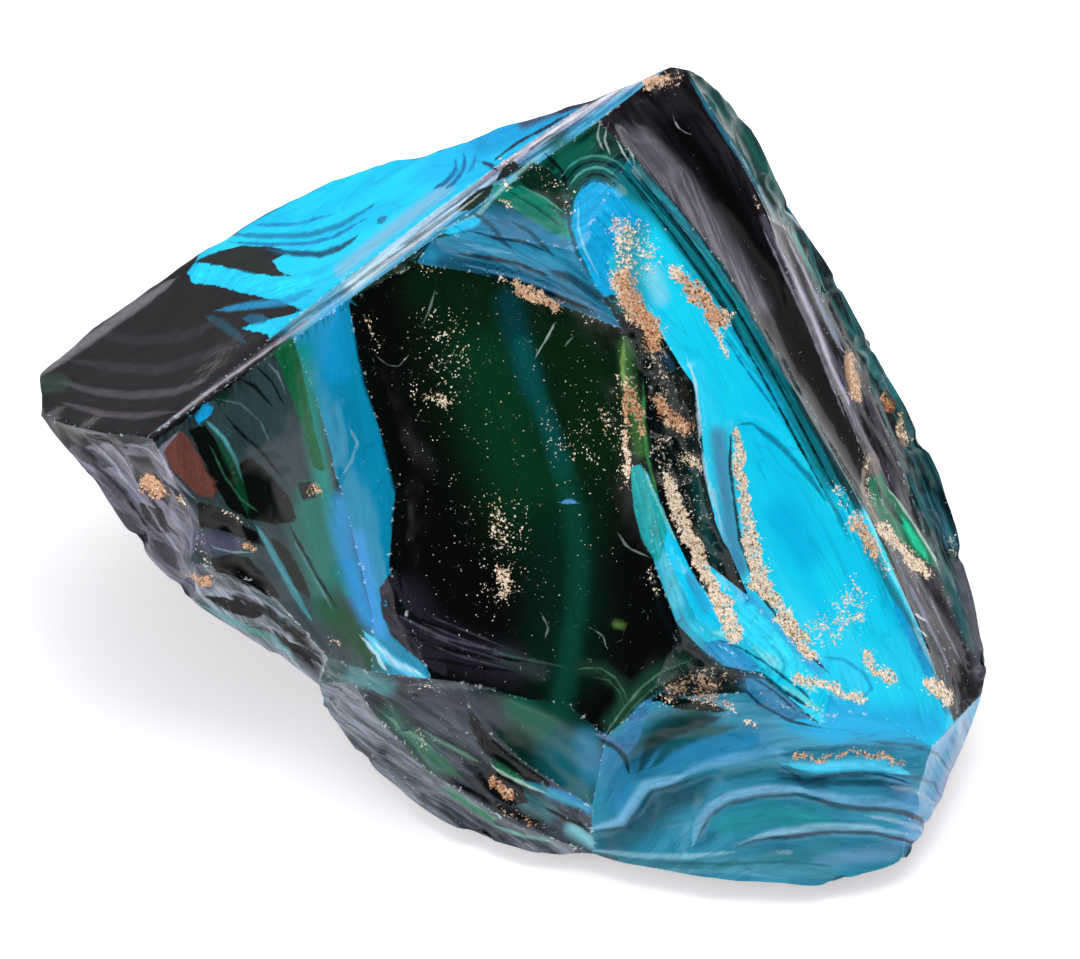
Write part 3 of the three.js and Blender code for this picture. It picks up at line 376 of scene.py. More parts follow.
# Pools of plain colour with a crisp edge.
PATCHES = [
    ("#121113", [
        (-46, 2), (-31.9, 2.9), (-26, 7.2), (-21.4, 11), (-22.6, 12), (-24.6, 12.4), (-23, 13.1),
        (-21, 13.4), (-19.4, 13.9), (-21.4, 14.7), (-24.4, 15.3), (-26.5, 15.9), (-28.6, 16.2), (-29, 17),
        (-28.3, 17.9), (-27.4, 20), (-34, 18), (-40, 14), (-46, 9),
    ]),
    ("#1A2220", [
        (-28.4, 17.9), (-26.5, 18.8), (-24.3, 19.2), (-22.2, 19.2), (-20.6, 18.7), (-22, 18), (-21.4, 17.1),
        (-20.2, 16.7), (-22, 16.7), (-24, 17), (-26, 17.5),
    ]),
    ("#12281C", [(-6.9, 21.9), (-5.5, 22.2), (-4.1, 23.4), (-3.9, 24.2), (-5, 23.9), (-6.3, 22.9)]),
    ("#101A16", [(-3.6, 24.5), (-2.5, 25), (-1.7, 25.9), (-2.3, 26.2), (-3.2, 25.5)]),
    ("#6A4038", [
        (-29.5, 4), (-31, 2.6), (-30.3, 0.8), (-28.2, -1.2), (-26.8, -1.6), (-26.6, -0.3), (-27.8, 1.6),
        (-28.9, 3.4),
    ]),
    ("#060B08", [
        (-28.9, 4.1), (-27.6, 4.5), (-26.6, 3.2), (-25.7, 1.5), (-24.8, 1.2), (-23.8, 1.9), (-22.9, 1.1),
        (-22.2, 0.5), (-21.2, -0.7), (-20.4, -2), (-20, -3.5), (-22, -3.7), (-24.2, -3.2), (-25.8, -2),
        (-27, 0.1),
    ]),
    ("#060808", [
        (-28.2, -1.8), (-26.2, -2.3), (-24, -3.9), (-22.6, -4.6), (-22.4, -5.6), (-24.2, -5), (-26, -4.2),
        (-28, -3.9),
    ]),
    ("#050607", [
        (-27.2, -6.5), (-25.4, -6.1), (-23.9, -6.5), (-22.7, -8), (-21.2, -9.8), (-22.8, -9.6), (-25, -8.7),
        (-26.6, -7.7),
    ]),
    ("#08100E", [(-22.2, -4.6), (-20.8, -5.6), (-19.4, -8), (-18.8, -9.8), (-20.2, -9), (-21.6, -7)]),
    ("#081A12", [(-20, -0.2), (-18.8, -0.2), (-18.4, -1.5), (-19.5, -1.7)]),
    ("#0A5A34", [
        (-21.9, 10.6), (-20.4, 11.8), (-19.5, 9), (-18.9, 6), (-18.2, 3), (-17.6, 0.6), (-18.6, 1),
        (-19.8, 5), (-20.9, 8),
    ]),
    ("#06281C", [(-2.2, 25.4), (-0.8, 26.2), (1, 25.2), (2.2, 22.4), (1.2, 22.3), (0, 23.3), (-1.5, 24.3)]),
    ("#0C7A66", [
        (-3.6, 23.4), (-1.8, 24), (0.4, 23), (2, 21.3), (2.3, 20), (0.6, 20.5), (-1.6, 21.9), (-3.2, 22.8),
    ]),
    ("#12AAE2", [
        (2.6, 21.4), (2.8, 23), (3.4, 24.2), (4.5, 24.7), (5.8, 24.2), (7.2, 22.9), (8.2, 21.2),
        (6.8, 20.2), (5.6, 18), (5.9, 15.2), (5.2, 14.9), (4.2, 16.6), (3.2, 18.8),
    ]),
    ("#020B0A", [
        (8.6, 1.6), (9.6, 1.2), (10.6, -1.6), (12, -4.6), (13.6, -7.4), (14.8, -9.6), (14.3, -10.2),
        (13.2, -8.6), (12, -6.6), (10.9, -4.4), (9.9, -2), (9.1, -0.2),
    ]),
    ("#14141A", [(-34, 2.4), (-32.2, 1.7), (-30.6, -0.4), (-30.6, -2.2), (-31.6, -1.6), (-33, 0.2)]),
    ("#3A3A46", [(-36.8, 1), (-35, 0), (-33.8, -1.4), (-34.4, -1.8), (-36, -0.4)]),
    ("#363640", [(-35.6, -2), (-33.6, -3), (-31.8, -5.4), (-32.8, -5.2), (-34.8, -3.6)]),
    ("#16161C", [(-33, -2), (-31.2, -2.4), (-30.4, -4.6), (-31.4, -4.2), (-32.6, -3)]),
    ("#34343E", [(-31.8, -4.8), (-30.4, -5.6), (-29.6, -7.6), (-30.8, -6.8)]),
    ("#3C3C48", [(-38.8, 2.8), (-36.8, 2.2), (-35, 0.9), (-36.6, 1), (-38, 1.8)]),
    ("#26262E", [(-30.4, -0.4), (-29.4, -1.6), (-29.2, -3.4), (-30, -2.4)]),
    ("#0E1012", [(-27.6, -9.6), (-25, -10.1), (-22.8, -11.2), (-23.6, -11.6), (-26, -10.8)]),
    ("#0E1012", [(-23, -10.4), (-20.8, -11.2), (-18.8, -13), (-19.6, -13), (-21.4, -11.8)]),
    ("#0E1012", [(-21.6, -12.6), (-19.4, -13.8), (-17.6, -15.4), (-18.6, -15.2), (-20.6, -13.8)]),
    # the crack at the low left and the chips along it
    ("#040706", [
        (-6.2, -19.2), (-4.6, -20.6), (-3.1, -22.3), (-1.5, -23.7), (0.8, -25.1), (0.3, -25.7),
        (-1.9, -24.7), (-3.8, -23.3), (-5, -21.7),
    ]),
    ("#2A8258", [(-3.9, -22.9), (-2.7, -23.2), (-1.3, -24.2), (-1.9, -24.7), (-3.3, -23.9)]),
    ("#0A0E10", [(-5.3, -24.1), (-3.5, -24), (-1.6, -25.3), (-0.9, -26.6), (-2.6, -26.9), (-4.3, -25.7)]),
    # the hollow under the prong, the folds beside it and the facets of the lip, with painted light and shade
    # on the lip's facets
    ("#3680AE", [
        (6.2, -21.8), (7, -20), (8.2, -18.4), (9.2, -17.9), (8.9, -19.4), (8.1, -21.4), (7.2, -22.6),
    ]),
    ("#2C80AC", [
        (16.8, -16.3), (18.4, -16.4), (20.4, -18), (22, -19.6), (20.4, -19.8), (18.4, -18.6), (17, -17.4),
    ]),
    # painted light: the lit top facet of the lip
    ("#34E0FF", [
        (16.2, -10.6), (17.5, -10.2), (19, -11.8), (21.4, -14.8), (23.4, -17), (22, -17), (19.4, -15.6),
        (17, -13.5), (15.9, -12.6),
    ]),
    # painted shadow: the shaded side of the lip
    ("#2E98CC", [
        (13.4, -13.4), (15, -13.2), (16.6, -14), (18, -15.4), (17.4, -15.8), (15, -15.3), (13.9, -14.6),
    ]),
    # painted highlights: three pale chips on the lip
    ("#78E6F2", [(14, -12.5), (15.4, -12.4), (16.3, -13.4), (15, -13)]),
    ("#78E6F2", [(17.6, -13.9), (18.8, -14.3), (20.2, -15.6), (18.8, -15.2)]),
    ("#78E6F2", [(20.8, -16.2), (22, -16.4), (23, -17.6), (21.8, -17.2)]),
    ("#0CA8AC", [
        (7.4, 1), (8.2, 1.3), (9.1, -0.3), (10.1, -2.6), (10.4, -4.6), (9.7, -7), (9, -6), (8.3, -4.6),
        (7.8, -2.8),
    ]),
    # painted reflection: grey-lilac sheen of the pale room at the foot of the great shell
    ("#22212C", [
        (-12.6, -8), (-13.2, -9), (-13, -11), (-12.2, -12.8), (-10.8, -14.2), (-9, -15.6), (-7.6, -16.2),
        (-8, -14), (-9.6, -11), (-11, -8.6), (-11.8, -7.4),
    ]),
    ("#08090C", [(-12.6, -9.4), (-11.8, -9.2), (-11.2, -10.4), (-11, -11.4), (-11.8, -11.2), (-12.6, -10.4)]),
    ("#04100C", [(9.3, -18), (11.4, -18.9), (15.6, -19.2), (14.4, -18.4), (12, -18), (10, -17.6)]),
    # painted glow: the emerald eye, light caught inside the green glass
    ("#1C7454", [
        (26.8, 0.3), (28, 0.5), (28.8, -1.1), (30.2, -3.2), (31.7, -5.4), (32.8, -7.4), (31.4, -6.8),
        (29.6, -5), (28.2, -3.6), (27.1, -1.8),
    ]),
    ("#6E6054", [(26.5, 0.4), (26.7, 1.8), (27.5, 2.4), (28, 1.6), (28, 0.5), (27.4, 0.3)]),
    ("#B08C70", [
        (25, 10.7), (25.9, 10.5), (26.2, 9), (26.3, 7.2), (26, 6.2), (25.5, 6.7), (25, 8.4), (24.8, 9.8),
    ]),
    ("#12A0DC", [(-28.4, 4.9), (-27.6, 6.1), (-26.8, 6), (-27.2, 5.1), (-28, 4.6)]),
    ("#07301F", [(-27, 6.5), (-26, 7.3), (-25.4, 7.2), (-26, 6.2)]),
]

# Ribbons: colour, with how opaque it is as a fourth pair of digits, width in mm and line.
RIBBONS = [
    # cast face
    ("#10D4FF", 1.2, [(-28.4, 16.9), (-26.5, 16.8), (-24, 16.3), (-22, 15.8), (-20, 15.9), (-18.4, 16.6)]),
    ("#0A5070", 0.5, [(-22.4, 18.9), (-20.5, 18.6), (-18, 18.5), (-16.3, 19.1), (-15, 20)]),
    ("#0A6C9AC0", 0.45, [(-26, 20.2), (-22.6, 20), (-19, 20.1), (-16.4, 20.9), (-13.6, 22.6)]),
    ("#1496C8C0", 0.6, [(-26.4, 13.9), (-24, 14.3), (-21, 14.6), (-18.6, 15.6)]),
    ("#0E5A78", 0.8, [(-24.3, 13.2), (-22.4, 13.2)]),
    ("#125C7080", 0.7, [(-27.4, 13.4), (-25.8, 12.6), (-24.3, 11.3)]),
    ("#2C2C40", 0.6, [(0.8, 30.1), (3, 30.8), (5, 31.5)]),
    ("#0A3C5C", 0.4, [(-4.8, 26.1), (-4.2, 25.9), (-3.6, 25.5)]),
    ("#1E78A4", 0.5, [(-13.4, 21.1), (-12.6, 21.6)]),
    ("#5C5A6280", 0.6, [(-39.4, 8), (-36.5, 7.2), (-33.5, 6.9), (-30, 7.2), (-27.4, 8.2)]),
    ("#60585E80", 0.5, [(-39.2, 6.3), (-36, 5.4), (-33, 5.2), (-30, 5.6)]),
    ("#36363C80", 0.8, [(-38.6, 9.8), (-35, 9.2), (-31, 9), (-27, 10.4), (-24, 12)]),
    ("#32323870", 0.8, [(-37, 12), (-33, 11.4), (-29, 11.8), (-26, 13.2)]),
    # painted reflection: pale grey haze along the far edge of the cast face
    ("#A6A6AC60", 0.8, [(-41.4, 8.4), (-38, 10.9), (-34, 13.7), (-30, 16.5)]),
    ("#2C4A3A80", 1.6, [(-41.8, 7.8), (-38.6, 8)]),
    # chips on the ridge: a pale speckled line of painted glints, cyan glass and a lilac line of painted sheen
    ("#8CC8C4A0", 0.32, [
        (-8.6, 20.4), (-6.6, 21), (-5, 21.9), (-4, 23), (-2.4, 24.6), (-1, 25.9), (0.8, 27.2),
    ]),
    ("#1CBCEE", 0.8, [(-7.8, 20.3), (-6, 20.9), (-4.8, 21.4)]),
    ("#7C747EA0", 0.4, [(-31.7, 3.8), (-27, 7.4), (-22, 11), (-18.6, 13.4)]),
    # left
    ("#4E9A9C", 0.35, [(-27.6, 5), (-26, 3.4), (-25.2, 2), (-24.5, 0)]),
    ("#064A28B0", 0.7, [(-26.6, 3.6), (-25, 0.6), (-24, -2.8)]),
    ("#3A8A96", 0.5, [(-23.3, -3.8), (-22.3, -5.5), (-21.2, -7.5), (-20, -9.7), (-18.8, -11.5)]),
    ("#60A09CC0", 0.45, [(-28.4, -10), (-25, -11.8), (-22, -13.2), (-20, -14.8)]),
    ("#9894A6A0", 0.35, [(-29.8, 3.8), (-31.2, 2.4), (-30.4, 0.4), (-28.4, -1.6)]),
    ("#54C4E8", 0.8, [(-14.4, -12.6), (-12.6, -14.6), (-11, -15.6), (-9.4, -16.3)]),
    # painted glints along the lower end of the blue band
    ("#A8DCE8", 0.3, [(-14.6, -13), (-13.4, -14.4), (-12.6, -15.8)]),
    ("#3E5A62C0", 0.5, [(-24, -9.4), (-21.6, -10.6), (-19.4, -13)]),
    ("#060808", 0.6, [(-25.4, -9.8), (-22.6, -11), (-20, -12.6), (-17.8, -15)]),
    ("#060808", 0.4, [(-22, -12.6), (-20, -14), (-18.6, -15.6)]),
    ("#040806", 0.7, [
        (-15.5, 14.2), (-14.8, 10.6), (-14, 7.4), (-12.9, 4.6), (-12.3, 1.6), (-11.5, -1.4), (-11.9, -3.4),
        (-11.7, -7), (-11.4, -9),
    ]),
    # ledge and crown
    ("#3E80A4", 0.35, [(-6, 17.6), (-3, 16.9), (0, 16), (3, 14.8), (6, 13.3)]),
    ("#06141A", 0.4, [(-5, 17), (-2, 16.3), (1, 15.2), (4, 14)]),
    ("#0A2C3C", 0.35, [(-6.8, 18.6), (-4.4, 18.2), (-2, 17.8), (0.6, 16.8)]),
    ("#0C3A50", 0.3, [(-5.6, 20.4), (-3.4, 19.8), (-1.4, 19.6), (0.8, 18.6)]),
    ("#0C2C3AC0", 0.8, [(0.8, 17.1), (2.6, 16.5), (4.6, 15.2), (5.8, 14.1)]),
    ("#0E3448C0", 0.45, [(-5.6, 22), (-4, 20.9), (-3, 19.5), (-2.2, 18.8)]),
    ("#0E3448C0", 0.4, [(-2.4, 21.3), (-1, 20.5), (0, 19.5), (1.2, 18.2)]),
    ("#58B4D4A0", 0.25, [(-6.2, 19.4), (-4.4, 18.9), (-2.4, 18.6)]),
    ("#093C46D0", 0.3, [(2.2, 25), (2.3, 22.6), (2.4, 20.8), (3.1, 18.6), (4.3, 16.4)]),
    ("#8CE4F4B0", 0.18, [(3.1, 22.4), (3.1, 20.8), (3.7, 18.8), (4.8, 16.8)]),
    ("#0A3A44C0", 0.3, [(3.2, 24), (4.4, 25.2), (6.4, 24.8)]),
    # seam, prong and swath
    ("#7A9E54", 0.35, [(6.9, 11.4), (6.8, 9), (7.3, 6.4)]),
    ("#3E9A50C0", 0.3, [(8.5, 8), (8.5, 4.4), (8.9, 1.6), (9.6, -1)]),
    ("#041010", 0.5, [(8.4, -6), (9.4, -8.6), (10, -11), (11, -12.8)]),
    ("#8CDCC8B0", 0.22, [(8.5, 1), (9.2, -0.8), (10.2, -3), (11.2, -5.2)]),
    ("#083C40", 0.35, [(15.8, 4), (15.7, 1), (16.1, -2), (16.5, -5), (17.5, -7.8), (18.6, -10)]),
    ("#0A2A30", 0.3, [(16.6, -8.5), (17.7, -9), (19.2, -10.6), (20.8, -12.8), (22.2, -14.6)]),
    ("#0C6C88C0", 0.4, [(16.2, 4.5), (17.4, 4.6), (19.5, 3), (22, 0.3), (23.5, -1.8)]),
    ("#0A2224", 0.4, [(12.6, 3.4), (13.2, 0), (14.2, -3.4), (15, -7)]),
    # painted highlights: thin white lines along the edge where the swath drops to the channel
    ("#B8DCE8", 0.18, [(12.1, 9.8), (12.6, 8), (12.9, 5.6), (13.2, 3.4)]),
    ("#9CD0E4C0", 0.16, [(13.4, 2.6), (13.9, 0), (14.6, -2.4), (15.1, -4.4)]),
    ("#0C5A74", 0.16, [(14.6, -13.2), (16.6, -13.9), (18.4, -15), (20, -16.2), (21.6, -17.4), (22.8, -18.8)]),
    ("#7CE0D8A0", 0.5, [(19.8, -16.9), (21.4, -17.9), (23, -18.9)]),
    ("#0C3C58", 0.25, [(19.8, -10.8), (21, -12.6), (22.4, -14.6), (23.6, -15.8)]),
    ("#06303C", 0.3, [(11.6, -12.9), (13.4, -14.2), (15, -15.5), (17.8, -16)]),
    ("#0E3E50", 0.25, [(16.4, -16.9), (18, -18.4), (20.4, -19.8), (23, -20.4)]),
    ("#0E3E50", 0.2, [(17.2, -16.2), (19.2, -17.4), (21, -19)]),
    ("#0A4A5C", 0.35, [(16.4, -15.8), (18.2, -16), (20, -17.4), (22, -18.6)]),
    ("#0C90C0B0", 0.3, [(23.4, -14.6), (25, -14.8), (26.6, -15.9), (27.3, -17.2), (26.4, -18)]),
    ("#10A0D8", 0.7, [(29, -10), (31, -14), (32.6, -17)]),
    # banded foot: along the folds, dark lines of painted shade under pale lines of painted light, over the
    # relief that raises them
    ("#1A4E60C0", 0.5, [(4.6, -29), (7.2, -28.6), (8.4, -26.9), (9.2, -25.6), (11, -25.2), (12.6, -24.6)]),
    ("#78BCE0C0", 0.9, [(4.4, -28.5), (6.6, -28.1), (7.7, -26.4), (8.6, -25.1), (10.4, -24.7), (12, -24.2)]),
    ("#0A2A2CC0", 1.1, [(8.2, -23.8), (9.2, -21.8), (11.4, -20.3), (14.6, -19.6)]),
    ("#0A1218D0", 0.45, [(5, -21.4), (6.2, -22), (7, -22.9), (7.3, -24)]),
    ("#6C7CACA0", 0.3, [(4.6, -20.9), (5.8, -21.3), (6.8, -22.2)]),
    ("#0C504CC0", 0.8, [(9.2, -23.6), (10.8, -21.9), (13.2, -20.9), (16, -20.3)]),
    ("#5CA8D4A0", 0.8, [(11.6, -24.1), (13.4, -23.4), (16, -22.7), (20, -22.3)]),
    ("#163E4ED0", 0.5, [(13, -29.4), (13.9, -27.6), (15.4, -26.6), (18, -26), (21.4, -25.9), (25, -26.8)]),
    ("#78B8DCC0", 0.9, [(12.6, -30), (12.9, -28.4), (14, -26.9), (15.8, -25.9), (18.6, -25.4), (22, -25.4)]),
    ("#163E4ED0", 0.5, [(21.6, -26), (24.6, -26.9), (28, -27), (30.4, -27.4), (31.5, -28.2)]),
    ("#6CB0D8B0", 0.8, [(21.6, -25.4), (24.6, -26.2), (28, -26.4), (30.6, -26.8)]),
    ("#1C5266C0", 0.4, [(20, -24.6), (24, -25), (28, -25), (30.8, -25.6), (32, -26.6)]),
    ("#34384AD0", 0.45, [(16.4, -30.2), (18, -29.5), (21, -29.3), (24, -28.9), (27.4, -29), (30.8, -29.9)]),
    ("#8CC4DCB0", 0.6, [(16.6, -29.8), (19, -29), (23, -28.5), (27, -28.5), (30, -29)]),
    ("#46C8EA", 1.1, [(20.4, -23.3), (22.6, -23.7), (25, -23.3), (28, -23.3), (30.4, -24.2)]),
    # painted shadow under the turquoise lip
    ("#124C66", 0.4, [(19.6, -23.4), (21.6, -24.9), (25, -24.4), (28, -24.3), (30.2, -25)]),
    ("#1A5E78A0", 0.35, [(19, -22.8), (21.6, -22.2), (26, -21.9), (30, -22.2)]),
    ("#8CC8DCB0", 0.45, [(4.6, -30.5), (8, -30.9), (12, -31), (16, -30.6)]),
    ("#5CA8C4A0", 0.35, [(8, -32), (12, -32.2), (16, -32.2), (20, -32.8)]),
    ("#2C6478A0", 0.3, [(10, -31.5), (15, -31.6), (20, -31.4), (24, -31.8)]),
    ("#4E4A5CC0", 0.35, [(29.6, -27.3), (31, -27.8), (31.4, -28.7)]),
    ("#4E4A5CC0", 0.35, [(28.6, -29.4), (30.2, -29.6), (31, -30.1)]),
    ("#46627CC0", 0.3, [(28.4, -24.2), (30.6, -24.4), (32.4, -25), (33, -26.2)]),
    ("#A4CCE4B0", 0.4, [(28.8, -25.3), (31, -25.7), (32.2, -26.6), (32.4, -27.6)]),
    ("#46627CB0", 0.3, [(27.4, -21.6), (30.4, -21.8), (32.8, -22.6), (33.6, -23.8)]),
    ("#A4CCE4A0", 0.4, [(27, -27.6), (29.4, -28), (31, -28.6), (31.4, -29.4)]),
    ("#3E3C4AC0", 0.5, [(2.6, -30.2), (4, -30.9), (6.4, -31.2)]),
    # green slope and low left
    ("#05080A", 0.7, [(-6, -19.3), (-4.6, -21), (-3.6, -22.7), (-1.6, -24.2), (0.4, -25.3)]),
    ("#05080A", 0.4, [(-7.6, -24.8), (-5, -26), (-2.8, -27.4), (0, -28.2)]),
    ("#05080A", 0.35, [(0.4, -27), (2.2, -28), (4.4, -28.9)]),
    ("#B4D8C4", 0.22, [(-4, -23.4), (-2.6, -24.4), (-1, -25.3), (0.4, -25.9)]),
    # painted glints: a pale line along the foot of the blue band
    ("#C4DCE0A0", 0.35, [(-13.6, -13.4), (-12, -15), (-9.6, -16.1)]),
    # painted highlight along the ridge
    ("#B4DCECA0", 0.3, [(-14, 17.8), (-10, 20.9), (-6, 23.9)]),
    ("#3C5A9090", 0.3, [(-12, 18.8), (-8, 21.9), (-3, 25.6)]),
    ("#2A7A5490", 0.6, [(-10.6, -21.6), (-8.8, -23), (-6.6, -24.5)]),
    ("#2A8A5CB0", 0.6, [(-8, -25.4), (-5.6, -27), (-3.6, -28.2)]),
    ("#6CA086B0", 0.35, [(-12.6, -19.6), (-11, -20.8), (-9.4, -22)]),
    ("#5C9078A0", 0.3, [(-9.6, -20.8), (-7.6, -22), (-5.2, -23.2)]),
    ("#38A0B0C0", 0.45, [(-1.4, -24.9), (0.6, -25.8), (2.6, -26.7), (4.2, -27.2)]),
    ("#78B8A8B0", 0.3, [(-3.6, -28.6), (-1.6, -29.3), (1, -29.8)]),
    ("#60687080", 0.4, [(-11, -16.9), (-7, -17), (-4, -17.2)]),
    ("#0C2A20A0", 0.5, [(-14, -18.6), (-11.4, -21.4), (-9, -24)]),
    # right-hand strips
    ("#2C7C98C0", 0.35, [(12.3, 33), (14.5, 29.4), (17, 25.6), (19.4, 21.5)]),
    ("#0E3A3CD0", 0.5, [(13.4, 33), (15.8, 29.4), (18, 25.8), (20.2, 22)]),
    ("#0E0C0F", 0.6, [(20.3, 20), (22.6, 15.6), (25.4, 10.4), (28, 5.4)]),
    ("#1C6E6CC0", 0.4, [(22.6, 17), (24.4, 14), (26.4, 11), (28.2, 7)]),
    ("#9A9080C0", 0.5, [(26.6, 1), (26.5, -0.8), (27.1, -2.6), (28.1, -4.2), (29.8, -5.8), (31.8, -7.6)]),
    # painted highlights: a bright emerald streak and a pale line in the emerald eye
    ("#1CE0A8D0", 0.5, [(29.4, -3), (30.6, -4.8), (31.7, -6.6)]),
    ("#C8E8D8B0", 0.2, [(28.6, -0.8), (30.2, -3.2), (31.8, -5.6), (32.8, -7.4)]),
    ("#0A3A2C", 0.35, [(27.8, -0.6), (28.6, -2.2), (29.8, -3.8)]),
    ("#6E4424", 0.9, [(28.1, 6.7), (28.6, 6.2), (28.9, 5.5)]),
    ("#A89070C0", 0.4, [(29.6, 5.4), (29.5, 4.2), (29.9, 3.1), (30.6, 2.9)]),
]

# How many layers the ribbons and the fine lines lie in.
LINE_LAYERS = 8

